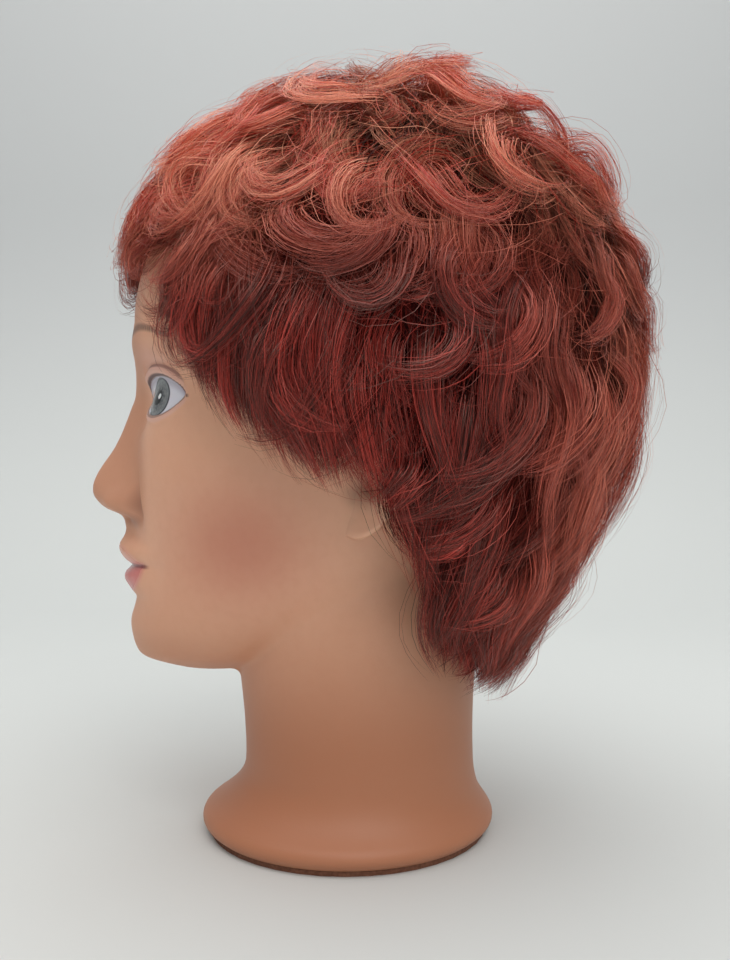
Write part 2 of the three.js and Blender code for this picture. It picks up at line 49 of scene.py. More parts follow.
SHIFT_Y = -9.45
RNG = np.random.default_rng(20947)


# ---------------------------------------------------------------- camera
CAMERA_AWAY, CAMERA_Y, CAMERA_HEIGHT = 396, 7.1, 143
CAMERA_LENS = 35.3


def add_camera():
    """Level with the mouth, on the head's left, square to its side."""
    data = bpy.data.cameras.new("photo_camera")
    data.lens = CAMERA_LENS
    data.sensor_width = 36
    data.clip_start = 0.01
    data.dof.use_dof = False
    camera = bpy.data.objects.new("photo_camera", data)
    camera.location = (CAMERA_AWAY * MM, (CAMERA_Y + SHIFT_Y) * MM, CAMERA_HEIGHT * MM)
    camera.rotation_euler = (math.radians(90), 0, math.radians(90))
    bpy.context.scene.collection.objects.link(camera)
    bpy.context.scene.camera = camera


add_camera()


# ---------------------------------------------------------------- small mathematics
def table(rows, z, column=1):
    """One column of rows at heights z, as a smooth curve through the rows."""
    rows = np.asarray(rows, float)
    keys, vals = rows[:, 0], rows[:, column]
    slope = np.gradient(vals, keys)
    slope[1:-1] = (vals[2:] - vals[:-2]) / (keys[2:] - keys[:-2])
    z = np.clip(z, keys[0], keys[-1])
    i = np.clip(np.searchsorted(keys, z) - 1, 0, len(keys) - 2)
    step = keys[i + 1] - keys[i]
    t = (z - keys[i]) / step
    t2, t3 = t * t, t * t * t
    return (
        (2 * t3 - 3 * t2 + 1) * vals[i]
        + (t3 - 2 * t2 + t) * slope[i] * step
        + (3 * t2 - 2 * t3) * vals[i + 1]
        + (t3 - t2) * slope[i + 1] * step
    )


def bell(distance, half_width):
    """1 in the middle, falling off to nothing over about two half widths."""
    return np.exp(-((distance / half_width) ** 2))


def smooth(x, low, high):
    """0 below low, 1 above high, with a soft step between."""
    t = np.clip((x - low) / (high - low), 0, 1)
    return t * t * (3 - 2 * t)


def unit(v):
    return v / np.maximum(np.linalg.norm(v, axis=-1, keepdims=True), 1e-9)


# ---------------------------------------------------------------- the head's form
# Each row is one height: [z, front y, back y, half width, y of the widest point].
SKULL = [
    [66, -74, -38, 12, -56], [72, -86, -10, 27, -48], [80, -88.5, 8, 37, -38], [90, -88, 22, 45, -26],
    [100, -87.5, 36, 51, -14], [112, -87.5, 52, 56, -4], [124, -87.5, 64, 60, 4],
    [140, -87.5, 79, 64.5, 10], [158, -87, 91, 68, 15], [176, -86.5, 99, 71.5, 18],
    [190, -87, 102, 74.5, 19], [205, -87.5, 103.5, 77, 20],
]
NECK = [
    [2, -57.3, 57.3, 57.3, 0], [4, -59.5, 59.5, 59.5, 0], [6.5, -60, 60, 60, 0], [9, -58.6, 59, 58.6, 0],
    [12, -54.5, 57, 55, 1], [16, -49.5, 54.5, 51.5, 2.5], [21, -45, 53, 49, 4], [27, -42.6, 52.2, 47.8, 4.7],
    [45, -43, 52, 47.5, 4.5], [66, -45, 53, 48, 4], [90, -46, 55, 49, 4.5], [130, -46, 58, 50, 6],
]
# The outline of the face in the middle: [z, y].
PROFILE = [
    [66, -70.6], [68, -79], [70, -85], [73, -88], [80.7, -90.3], [86, -90.5], [92, -88.8], [95.5, -88.3],
    [98, -90.5], [102.6, -93.4], [106, -92.6], [108.5, -91.2], [110.5, -93.2], [113.5, -95.4], [116.7, -95.8],
    [120.5, -94.2], [124, -93.7], [128.3, -95.4], [131, -101], [133.4, -104.1], [136.5, -106.5],
    [139.2, -107.1], [142.5, -106.6], [147.6, -104.1], [155.4, -98.7], [159.8, -96.3], [164, -94.4],
    [172.5, -91.2], [178, -89.2], [194, -87.9], [205, -87.5],
]
# How far the middle outline spreads to each side: [z, half width].
SPREAD = [
    [66, 14], [80, 17], [92, 16], [97, 18], [103, 20], [109, 22], [114, 19], [120, 9], [126, 9], [131, 13],
    [137, 13.5], [143, 11.5], [150, 9.5], [160, 8.5], [172, 9], [180, 12], [194, 24], [205, 30],
]
# Rounded features on each side of the face: [x, z, half width, half height, how far it stands out].
FEATURES = [
    [32, 177, 16, 11, -8.6],
    [17, 171, 7, 9, -3.0],
    [33.5, 174.5, 11.5, 8, 5.2],
    [29, 197, 18, 6, 1.8],
    [42, 150, 17, 17, 2.0],
    [13, 132.5, 4.8, 5.0, 5.4],
    [19.3, 134, 2.4, 7, -2.6],
    [26, 107, 6, 7, -1.5],
    [0, 121, 3.2, 5.5, -0.9],
    [7, 128.6, 3.6, 2.2, -2.6],
]
# Above this height the head is half an ellipsoid, up to its top.
CRANIUM, HEAD_TOP = 205.0, 291.0
CRANIUM_Y, CRANIUM_DEEP, CRANIUM_HALF = 8, 95.5, 77
JAW, NECK_TOP = 66, 130
NECK_BLEND = 4.5
EYE_X, EYE_Z, EYE_HALF = 34.8, 173.5, 14.2
# The lids start from the eye's corners, and rise or drop this far in the middle.
LID_LINE, UPPER_LID, LOWER_LID = EYE_Z + 1.5, 8.2, 7.6
UPPER_LEAN, LOWER_LEAN = 1.0, 0.3
UPPER_POWER, LOWER_POWER = 2.2, 0.8


def skull_section(z):
    """Front, back, half width and widest place of the skull at a height."""
    low = [table(SKULL, z, c) for c in (1, 2, 3, 4)]
    s = np.sqrt(np.clip(1 - ((z - CRANIUM) / (HEAD_TOP - CRANIUM)) ** 2, 1e-4, 1))
    high = [
        CRANIUM_Y - CRANIUM_DEEP * s, CRANIUM_Y + CRANIUM_DEEP * s, CRANIUM_HALF * s, CRANIUM_Y + 12 * s,
    ]
    return [np.where(z > CRANIUM, h, l) for h, l in zip(high, low)]


def section_distance(x, y, section, n):
    """Roughly how far outside an oval section a point lies; n is 2 for an ellipse."""
    front, back, half, middle = section
    reach = np.where(y < middle, middle - front, back - middle)
    value = (np.abs(x / half) ** n + np.abs((y - middle) / reach) ** n) ** (1 / n)
    return (value - 1) * np.minimum(half, reach)


def lid_upper(side):
    """Height of the upper lid's edge, which the paint follows too."""
    t = (side - EYE_X) / EYE_HALF
    return LID_LINE + UPPER_LID * np.sqrt(np.clip(1 - np.abs(t) ** UPPER_POWER, 0, 1)) - UPPER_LEAN * t


def lid_lower(side):
    t = (side - EYE_X) / EYE_HALF
    return LID_LINE - LOWER_LID * np.clip(1 - np.abs(t) ** 2.0, 0, 1) ** LOWER_POWER - LOWER_LEAN * t


def face_relief(x, z):
    """How far the face stands out from the plain skull."""
    side = np.abs(x)
    middle = table(SKULL, z) - table(PROFILE, z)
    relief = middle * np.exp(-((side / table(SPREAD, z)) ** 2.3))
    for fx, fz, width, height, out in FEATURES:
        relief = relief + out * bell(side - fx, width) * bell(z - fz, height)
    # The parting of the lips runs out to the corners of the mouth.
    lip_line = 108.5 - 1.2 * bell(side - 9, 8) + 1.2 * smooth(side, 14, 24)
    relief = relief - 1.5 * bell(z - lip_line, 1.5) * (1 - smooth(side, 19, 25))
    # The lids: a raised rim round the eye, and the fold above the upper lid.
    window = 1 - smooth(np.abs(side - EYE_X), 11.0, 15.5)
    relief = relief + 2.0 * bell(z - lid_upper(side) - 1.7, 1.6) * window
    relief = relief - 1.2 * bell(z - lid_upper(side) - 5.2, 1.3) * window
    relief = relief + 1.3 * bell(z - lid_lower(side) + 1.3, 1.4) * window
    return np.where(z > CRANIUM, 0, relief)


def head_distance(x, y, z):
    """Below zero inside the head: skull with its face, softly joined to the neck."""
    forward = smooth(-y, 10, 45)
    zs = np.maximum(z, JAW)
    n = 1.9 + 0.3 * np.clip((z - 110) / 95, 0, 1)
    skull = section_distance(x, y + face_relief(x, z) * forward, skull_section(zs), n)
    skull = np.where(z < JAW, np.hypot(np.maximum(skull, 0), JAW - z), skull)
    skull = np.maximum(skull, z - HEAD_TOP)
    zn = np.minimum(z, NECK_TOP)
    neck = section_distance(x, y, [table(NECK, zn, c) for c in (1, 2, 3, 4)], 2)
    neck = np.where(z > NECK_TOP, np.hypot(np.maximum(neck, 0), z - NECK_TOP), neck)
    h = np.clip(0.5 + 0.5 * (neck - skull) / NECK_BLEND, 0, 1)
    return neck * (1 - h) + skull * h - NECK_BLEND * h * (1 - h)


# Rays start from an upright spine with a ball on its top, and tilt down under the chin.
SPINE_TOP, SPINE_Y = 195.0, 12.0
TILT = [[45, 0], [90, 18], [105, 18], [SPINE_TOP, 0]]


def rays(azimuth, level):
    """Azimuth 0 is the face, 90 the head's left; level is a height, and past the spine degrees up."""
    turn = np.radians(azimuth)
    rise = np.radians(np.maximum(level - SPINE_TOP, 0))
    spine_y = np.interp(level, [2, 27], [0, SPINE_Y])
    tilt = np.tan(np.radians(table(TILT, level)))
    direction = np.stack(
        [np.sin(turn) * np.cos(rise), -np.cos(turn) * np.cos(rise), np.sin(rise) - np.cos(turn) * tilt],
        -1,
    )
    origin = np.stack([np.zeros_like(level), spine_y, np.minimum(level, SPINE_TOP)], -1)
    return origin, direction


def outer_hit(azimuth, level, inside_distance, far=150.0, coarse=3.0):
    """Distance along each ray to the outermost point inside a form."""
    origin, direction = rays(azimuth, level)

    def inside(r):
        p = origin + direction * r[..., None]
        return inside_distance(p[..., 0], p[..., 1], p[..., 2]) < 0

    low = np.full(azimuth.shape, far)
    found = np.zeros(azimuth.shape, bool)
    for _ in range(int(far / coarse)):
        hit = inside(low)
        found |= hit
        low = np.where(found, low, low - coarse)
    high = low + coarse
    for _ in range(13):
        middle = (low + high) / 2
        hit = inside(middle)
        low, high = np.where(hit, middle, low), np.where(hit, high, middle)
    return origin + direction * low[..., None], low


# ---------------------------------------------------------------- meshes
def to_row(points):
    """Millimetres from the base's centre to the row frame in metres."""
    return (np.asarray(points) + [0, SHIFT_Y, 0]) * MM


def new_mesh(name, points, faces, uv=None):
    """A mesh object from points in millimetres and an array of faces."""
    faces = np.asarray(faces, np.int32)
    mesh = bpy.data.meshes.new(name)
    sides = faces.shape[1]
    mesh.vertices.add(len(points))
    mesh.vertices.foreach_set("co", to_row(points).astype(np.float32).ravel())
    mesh.loops.add(faces.size)
    mesh.loops.foreach_set("vertex_index", faces.ravel())
    mesh.polygons.add(len(faces))
    mesh.polygons.foreach_set("loop_start", np.arange(0, faces.size, sides, dtype=np.int32))
    mesh.polygons.foreach_set("use_smooth", np.full(len(faces), True))
    if uv is not None:
        layer = mesh.uv_layers.new(name="OFBake")
        layer.data.foreach_set("uv", np.asarray(uv, np.float32).ravel())
    mesh.update(calc_edges=True)
    mesh.validate()
    obj = bpy.data.objects.new(name, mesh)
    bpy.context.scene.collection.objects.link(obj)
    return obj


def grid_faces(rows, columns):
    """Quads of a grid of points whose columns go all the way round."""
    r = np.arange(rows - 1)[:, None]
    c = np.arange(columns)[None, :]
    following = (c + 1) % columns
    lower, upper = r * columns, (r + 1) * columns
    return np.stack([lower + c, lower + following, upper + following, upper + c], -1).reshape(-1, 4)


SKIN_BOTTOM = 2.1
HEAD_COLUMNS = 400
FACE_CROWDING = 36  # degrees that the columns are drawn towards the face


def crowded_levels():
    """Levels of the head's rows, close together over the face."""
    foot = [SKIN_BOTTOM, 3, 4, 5, 6, 7, 8, 9, 10, 11.5, 13, 15, 17, 19, 21.5, 24, 27]
    neck = [31, 36, 41, 46, 51, 56, 60]
    chin = np.arange(63, 95, 1.1)
    face = np.arange(95, 195, 0.8)
    brow = SPINE_TOP + np.arange(0, 18, 0.7)
    scalp = SPINE_TOP + np.arange(18, 88, 2.0)
    return np.concatenate([foot, neck, chin, face, brow, scalp, [SPINE_TOP + 88.5]])


def build_head():
    """The skin's outside, in a uv layout that follows the grid, so that the face gets most of the room."""
    levels = crowded_levels()
    rows, columns = len(levels), HEAD_COLUMNS
    turn = np.linspace(-math.pi, math.pi, columns, endpoint=False)
    azimuth = np.degrees(turn) - FACE_CROWDING * np.sin(turn)
    points, _ = outer_hit(*np.meshgrid(azimuth, levels), head_distance)
    points = points.reshape(-1, 3)
    points[:columns, 2] = SKIN_BOTTOM
    r, c = np.meshgrid(np.arange(rows - 1.0), np.arange(float(columns)), indexing="ij")
    corners = [(r, c), (r, c + 1), (r + 1, c + 1), (r + 1, c)]
    uv = np.stack([np.stack([right / columns, up / rows], -1) for up, right in corners], 2)
    obj = new_mesh("head_skin_form", points, grid_faces(rows, columns), uv.reshape(-1, 2))
    close_top(obj, (rows - 1) * columns, columns)
    return obj


def close_top(obj, first, count):
    """Fill the ring of points left open at the crown."""
    bm = bmesh.new()
    bm.from_mesh(obj.data)
    bm.verts.ensure_lookup_table()
    face = bm.faces.new([bm.verts[first + i] for i in range(count)])
    face.smooth = True
    bmesh.ops.poke(bm, faces=[face])
    bm.to_mesh(obj.data)
    bm.free()


# ---------------------------------------------------------------- ears
EAR_AT = (69.5, 12.0, 150.0)
EAR_LEAN = math.radians(12)
EAR_HALF_WIDTH, EAR_HALF_HEIGHT = 14.5, 29.5
EAR_FACE_RINGS, EAR_BACK_RINGS, EAR_SPOKES = 30, 8, 72
EAR_UV_CELL = 0.004


def ear_height(rho, phi):
    """How far the ear's face stands out, over a disc: rho 0 to 1, phi from the back, turning up."""
    u, v = rho * np.cos(phi) * EAR_HALF_WIDTH, rho * np.sin(phi) * EAR_HALF_HEIGHT
    lobe = smooth(-v, 12, 20)
    front = smooth(-u, 3, 9)
    rim = (1 - lobe) * (1 - 0.75 * front * smooth(-v, -14, -2))
    height = 10.5 + 1.5 * smooth(u, -12, 10)
    height = height + 2.4 * bell(rho - 0.87, 0.085) * rim
    height = height - 2.4 * bell(rho - 0.68, 0.10) * rim * smooth(u, -9, 0)
    height = height + 1.6 * bell(rho - 0.47, 0.10) * rim * smooth(u, -6, 4)
    height = height - 7.0 * bell(u + 2.0, 5.6) * bell(v + 4.0, 9.0)
    height = height - 3.0 * bell(u + 2.5, 5.0) * bell(v - 8.0, 5.5)
    height = height + 2.6 * bell(u + 9.5, 3.0) * bell(v + 5.0, 4.0)
    height = height - 4.5 * lobe
    return u, v, height * (1 - smooth(rho, 0.93, 1.0) * 0.30)


def skin_beside(y, z):
    """Half the head's width at this place."""
    low, high = np.full(y.shape, 30.0), np.full(y.shape, 95.0)
    for _ in range(16):
        middle = (low + high) / 2
        hit = head_distance(middle, y, z) < 0
        low, high = np.where(hit, middle, low), np.where(hit, high, middle)
    return low


def build_ear(side):
    """Points and faces of one ear; side is 1 for the head's left."""
    rho = np.concatenate([np.linspace(0, 1, EAR_FACE_RINGS), np.ones(EAR_BACK_RINGS)])
    phi = np.linspace(0, 2 * math.pi, EAR_SPOKES, endpoint=False)
    r, p = np.meshgrid(rho, phi, indexing="ij")
    u, v, h = ear_height(r, p)
    # Behind the rim the ear turns in towards the head.
    back = np.concatenate([np.zeros(EAR_FACE_RINGS), np.linspace(0.12, 1, EAR_BACK_RINGS)])[:, None]
    shrink = 1 - 0.34 * back ** 1.5
    h = h * (1 - back) - 4.0 * back
    u, v = u * shrink - 2.5 * back, v * (1 - 0.22 * back)
    # The outline: wide above, narrow at the lobe.
    taper = 1 - 0.05 * smooth(-v, 2, 30)
    u = u * taper - 3.5 * smooth(-v, 5, 30)
    along = v * math.cos(EAR_LEAN) - u * math.sin(EAR_LEAN)
    across = u * math.cos(EAR_LEAN) + v * math.sin(EAR_LEAN)
    flare = 0.16 * (across + 14)
    x = EAR_AT[0] - 7.2 + h * 0.92 + flare
    under = skin_beside(EAR_AT[1] + across, EAR_AT[2] + along) - 2.6
    # Its front edge runs into the cheek.
    x = under + (x - under) * smooth(u, -12, 7)
    points = np.stack([side * x, EAR_AT[1] + across, EAR_AT[2] + along], -1).reshape(-1, 3)
    faces = grid_faces(len(rho), EAR_SPOKES)
    if side > 0:
        faces = faces[:, ::-1]
    return points, faces


# ---------------------------------------------------------------- material helpers
class Nodes:
    """A short way to write a node tree."""

    def __init__(self, name):
        self.material = bpy.data.materials.new(name)
        self.material.use_nodes = True
        self.tree = self.material.node_tree
        self.tree.nodes.clear()
        self.shader = self.tree.nodes.new("ShaderNodeBsdfPrincipled")
        out = self.tree.nodes.new("ShaderNodeOutputMaterial")
        self.tree.links.new(self.shader.outputs["BSDF"], out.inputs["Surface"])

    def set(self, socket, value):
        """Link a socket, or give it a constant."""
        if isinstance(value, bpy.types.NodeSocket):
            self.tree.links.new(value, socket)
        elif isinstance(value, (tuple, list)) and len(value) == 3 and socket.type == "RGBA":
            socket.default_value = (*value, 1)
        else:
            socket.default_value = value

    def look(self, **values):
        """Give the shader its values; an underscore stands for a space. Returns the material."""
        for name, value in values.items():
            self.set(self.shader.inputs[name.replace("_", " ")], value)
        return self.material

    def node(self, kind, output=0, settings=None, **inputs):
        made = self.tree.nodes.new(kind)
        for key, value in (settings or {}).items():
            setattr(made, key, value)
        for key, value in inputs.items():
            self.set(made.inputs[key], value)
        return made.outputs[output]

    def math(self, operation, a, b=0.0, c=None, clamp=False):
        made = self.tree.nodes.new("ShaderNodeMath")
        made.operation = operation
        made.use_clamp = clamp
        self.set(made.inputs[0], a)
        self.set(made.inputs[1], b)
        if c is not None:
            self.set(made.inputs[2], c)
        return made.outputs[0]

    def times(self, first, *others):
        for other in others:
            first = self.math("MULTIPLY", first, other)
        return first

    def plus(self, a, b):
        return self.math("ADD", a, b)

    def minus(self, a, b, clamp=False):
        return self.math("SUBTRACT", a, b, clamp=clamp)

    def most(self, a, b):
        return self.math("MAXIMUM", a, b)

    def near(self, value, place, far, close, most=1.0):
        """Most where the value is close to a place, nothing where it is far from it."""
        return self.ramp(self.math("ABSOLUTE", self.minus(value, place)), far, close, 0.0, most)

    def mix(self, factor, a, b):
        made = self.tree.nodes.new("ShaderNodeMix")
        made.data_type = "RGBA"
        self.set(made.inputs["Factor"], factor)
        self.set(made.inputs["A"], a)
        self.set(made.inputs["B"], b)
        return made.outputs["Result"]

    def ramp(self, value, low, high, to_low=0.0, to_high=1.0):
        """A soft step from to_low to to_high; low may lie above high."""
        made = self.tree.nodes.new("ShaderNodeMapRange")
        made.interpolation_type = "SMOOTHSTEP"
        self.set(made.inputs["Value"], value)
        ends = {"From Min": low, "From Max": high, "To Min": to_low, "To Max": to_high}
        for name, number in ends.items():
            self.set(made.inputs[name], number)
        return made.outputs["Result"]

    def split(self, vector):
        parts = self.tree.nodes.new("ShaderNodeSeparateXYZ")
        self.tree.links.new(vector, parts.inputs[0])
        return tuple(parts.outputs)

    def place(self):
        """Object coordinates in millimetres, y from the base's centre: (x, y, z, |x|)."""
        x, y, z = self.split(self.node("ShaderNodeTexCoord", "Object"))
        x = self.times(x, 1000.0)
        y = self.math("MULTIPLY_ADD", y, 1000.0, -SHIFT_Y)
        z = self.times(z, 1000.0)
        return x, y, z, self.math("ABSOLUTE", x)

    def noise(self, scale, detail=2.0, rough=0.5):
        coords = self.node("ShaderNodeTexCoord", "Object")
        return self.node(
            "ShaderNodeTexNoise", "Fac", Vector=coords, Scale=scale, Detail=detail, Roughness=rough
        )

    def bump(self, height, strength, distance):
        return self.node("ShaderNodeBump", 0, Strength=strength, Distance=distance, Height=height)

    def over(self, base, colour, *masks):
        """A screen colour laid over another where all the masks let it through."""
        return self.mix(self.times(*masks), base, srgb(*colour))

    def ellipse(self, side, z, cx, cz, rx, rz):
        """Distance from an ellipse's centre, 1 on its edge."""
        u = self.math("DIVIDE", self.minus(side, cx), rx)
        v = self.math("DIVIDE", self.minus(z, cz), rz)
        return self.math("SQRT", self.math("ADD", self.times(u, u), self.times(v, v)))


def srgb(r, g, b):
    """A colour given as 0-255 screen values, in linear light."""
    def channel(c):
        c = c / 255
        return c / 12.92 if c <= 0.04045 else ((c + 0.055) / 1.055) ** 2.4
    return (channel(r), channel(g), channel(b))


def paint_cheeks(n, y, z, side, front):
    """Bare skin with its blush, and painted shade towards the neck and foot, on the nose and in the ear's
    bowl.
    """
    skin = n.mix(n.ramp(n.noise(14.0, 3.0), 0.3, 0.7), srgb(240, 184, 152), srgb(233, 174, 141))
    skin = n.mix(n.ramp(n.noise(260.0, 2.0), 0.35, 0.75, 0.0, 0.18), skin, srgb(224, 162, 130))
    blush = n.ramp(n.ellipse(y, z, -39.0, 119.0, 48.0, 42.0), 1.0, 0.0, 0.0, 0.58)
    skin = n.over(skin, (182, 92, 70), blush, n.ramp(side, 20.0, 34.0))
    # Painted shade: the skin darkens towards the neck and the foot.
    skin = n.mix(n.ramp(z, 112.0, 36.0, 0.0, 0.95), skin, srgb(182, 118, 84))
    lid_shade = n.ramp(n.ellipse(side, z, 31.0, 188.0, 22.0, 12.0), 1.0, 0.2, 0.0, 0.30)
    skin = n.over(skin, (190, 134, 134), lid_shade, front)
    # Painted shade over the front of the nose.
    nose = n.times(n.ramp(y, -76.0, -84.0), n.ramp(z, 118.0, 128.0))
    skin = n.over(skin, (190, 130, 100), nose, 0.60)
    # Painted shade in the ear's bowl, under the hair.
    bowl = n.ramp(n.ellipse(y, z, 9.0, 138.0, 13.0, 8.5), 1.0, 0.1, 0.0, 0.75)
    return n.over(skin, (128, 80, 58), bowl, n.ramp(side, 58.0, 64.0))


def paint_brow(n, skin, z, side, front):
    """A soft arch of fine strokes."""
    t = n.math("DIVIDE", n.minus(side, 31.0), 20.0)
    arch = n.minus(202.0, n.times(t, t, 7.0))
    away = n.math("ABSOLUTE", n.minus(z, arch))
    thick = n.ramp(side, 12.0, 52.0, 2.7, 1.3)
    brow = n.ramp(n.math("DIVIDE", away, thick), 1.25, 0.2)
    ends = n.times(n.ramp(side, 10.0, 15.0), n.ramp(side, 54.0, 46.0))
    coords = n.node("ShaderNodeTexCoord", "Object")
    wave = n.node("ShaderNodeTexWave", "Fac", Vector=coords, Scale=260.0, Distortion=6.0, Detail=2.0)
    strokes = n.ramp(wave, 0.2, 0.7, 0.62, 0.95)
    brow = n.times(brow, ends, n.times(strokes, front))
    return n.over(skin, (92, 64, 56), brow, 0.82)


def paint_mouth(n, skin, z, side, front):
    """Both lips and the dark line of their parting."""
    lip = n.ramp(n.ellipse(side, z, 0.0, 106.6, 21.5, 11.0), 1.04, 0.86)
    top = n.plus(115.4, n.times(n.ramp(side, 0.0, 5.5), 1.6))
    bow = n.ramp(n.minus(z, top), 0.5, -0.5)
    lip = n.times(lip, bow, front)
    lips = n.mix(n.ramp(n.noise(60.0, 3.0), 0.3, 0.7), srgb(218, 126, 124), srgb(204, 104, 106))
    skin = n.mix(n.times(lip, n.ramp(z, 112.5, 107.5, 0.26, 0.85)), skin, lips)
    parting = n.near(z, 108.3, 1.1, 0.3)
    parting = n.times(parting, n.ramp(side, 24.5, 20.0), front)
    return n.over(skin, (122, 42, 46), parting, 0.8), lip


def paint_nose_edge(n, skin, y, z, side, front):
    """Painted shade under and behind the wings of the nose, and in the nostrils."""
    wing = n.ramp(n.ellipse(side, z, 12.5, 126.6, 9.5, 4.2), 1.2, 0.0, 0.0, 0.50)
    crease = n.ramp(n.ellipse(side, z, 19.4, 133.0, 3.0, 8.5), 1.2, 0.0, 0.0, 0.50)
    skin = n.over(skin, (128, 74, 54), n.most(wing, crease), front)
    # The nostrils are painted dark: painted shade in their dents.
    nostril = n.ramp(n.ellipse(side, z, 7.2, 129.0, 3.6, 1.9), 1.1, 0.7)
    nostril = n.times(nostril, n.ramp(y, -93.0, -96.0))
    return n.over(skin, (96, 44, 34), nostril, 0.85)


def paint_eye(n, skin, z, side, front):
    """The opening between two lid curves, with iris, pupil and catchlight, and the liner round it."""
    t = n.math("DIVIDE", n.minus(side, EYE_X), EYE_HALF)
    at = n.math("ABSOLUTE", t)
    keep = n.minus(1.0, n.math("POWER", at, UPPER_POWER), clamp=True)
    high = n.math("MULTIPLY_ADD", n.math("SQRT", keep), UPPER_LID, LID_LINE)
    high = n.minus(high, n.times(t, UPPER_LEAN))
    keep = n.minus(1.0, n.times(t, t), clamp=True)
    low = n.times(n.math("POWER", keep, LOWER_POWER), LOWER_LID)
    low = n.minus(n.minus(LID_LINE, low), n.times(t, LOWER_LEAN))
    above = n.minus(high, z)
    below = n.minus(z, low)
    inside = n.times(n.ramp(above, 0.0, 0.5), n.ramp(below, 0.0, 0.5))
    open_eye = n.times(inside, n.ramp(at, 1.0, 0.97), front)
    # The white is painted darker under the upper lid: painted shade.
    white = n.mix(n.ramp(above, 5.0, 0.0), srgb(232, 228, 236), srgb(176, 164, 178))
    corner = n.ramp(side, 20.5, 17.0)
    white = n.mix(corner, white, srgb(206, 132, 122))
    ring = n.ellipse(side, z, EYE_X - 0.4, EYE_Z + 1.2, 7.4, 7.6)
    iris = n.mix(n.ramp(ring, 0.4, 0.95), srgb(82, 84, 88), srgb(128, 131, 134))
    streaks = n.ramp(n.noise(900.0, 2.0), 0.35, 0.65, 0.0, 0.4)
    iris = n.mix(streaks, iris, srgb(162, 164, 160))
    iris = n.mix(n.ramp(ring, 0.86, 0.98), iris, srgb(44, 46, 52))
    eye = n.mix(n.ramp(ring, 1.04, 0.97), white, iris)
    eye = n.mix(n.ramp(ring, 0.42, 0.36), eye, srgb(14, 12, 14))
    glint = n.ellipse(side, z, EYE_X + 0.8, EYE_Z + 1.6, 1.1, 1.1)
    eye = n.mix(n.ramp(glint, 1.1, 0.8), eye, srgb(250, 250, 250))
    skin = n.mix(open_eye, skin, eye)
    # The lids' rims are painted lighter and pinker than the skin: a pink tone and a painted highlight on the
    # raised rims.
    rims = n.most(n.near(above, -2.2, 2.4, 1.0), n.near(below, -1.2, 1.6, 0.6))
    rims = n.times(rims, n.ramp(at, 1.1, 0.9), front)
    skin = n.over(skin, (232, 184, 170), rims, 0.6)
    # Liner along the upper lid, thin along the lower one.
    upper = n.near(above, -0.2, 0.9, 0.25)
    upper = n.times(upper, n.ramp(at, 1.08, 1.0))
    lower = n.near(below, -0.1, 0.75, 0.25, 0.6)
    lower = n.times(lower, n.ramp(at, 1.02, 0.95))
    liner = n.times(n.most(upper, lower), front)
    skin = n.over(skin, (78, 56, 62), liner, 0.9)
    # Painted shade along the fold above the upper lid.
    fold = n.near(above, -3.8, 0.9, 0.2, 0.72)
    fold = n.times(fold, n.ramp(at, 1.05, 0.85), front)
    return n.mix(fold, skin, srgb(138, 92, 84)), open_eye


def skin_material():
    """Matt vinyl with an airbrushed face."""
    n = Nodes("painted vinyl")
    _, y, z, side = n.place()
    front = n.ramp(y, -40.0, -55.0)
    skin = paint_cheeks(n, y, z, side, front)
    skin = paint_brow(n, skin, z, side, front)
    skin, lip = paint_mouth(n, skin, z, side, front)
    skin = paint_nose_edge(n, skin, y, z, side, front)
    skin, open_eye = paint_eye(n, skin, z, side, front)
    # The eyes and lips are painted with a glossier coat.
    gloss = n.mix(open_eye, (0.50, 0.50, 0.50), (0.16, 0.16, 0.16))
    gloss = n.mix(lip, gloss, (0.24, 0.24, 0.24))
    return n.look(
        Base_Color=skin, Roughness=gloss, Subsurface_Weight=0.12, Subsurface_Radius=(0.006, 0.003, 0.002),
        Subsurface_Scale=1.0, Normal=n.bump(n.noise(900.0, 3.0), 0.05, 0.0006),
    )


def plain_material(name, light, dark, rough, scale, metallic, bump):
    """Two close shades broken up by noise, for small and hidden pieces."""
    n = Nodes(name)
    grain = n.noise(scale, 4.0, 0.6)
    return n.look(
        Base_Color=n.mix(n.ramp(grain, 0.3, 0.7), light, dark),
        Roughness=n.ramp(grain, 0.2, 0.8, rough - 0.06, rough + 0.08),
        Metallic=metallic, Normal=n.bump(grain, bump, 0.0004),
    )


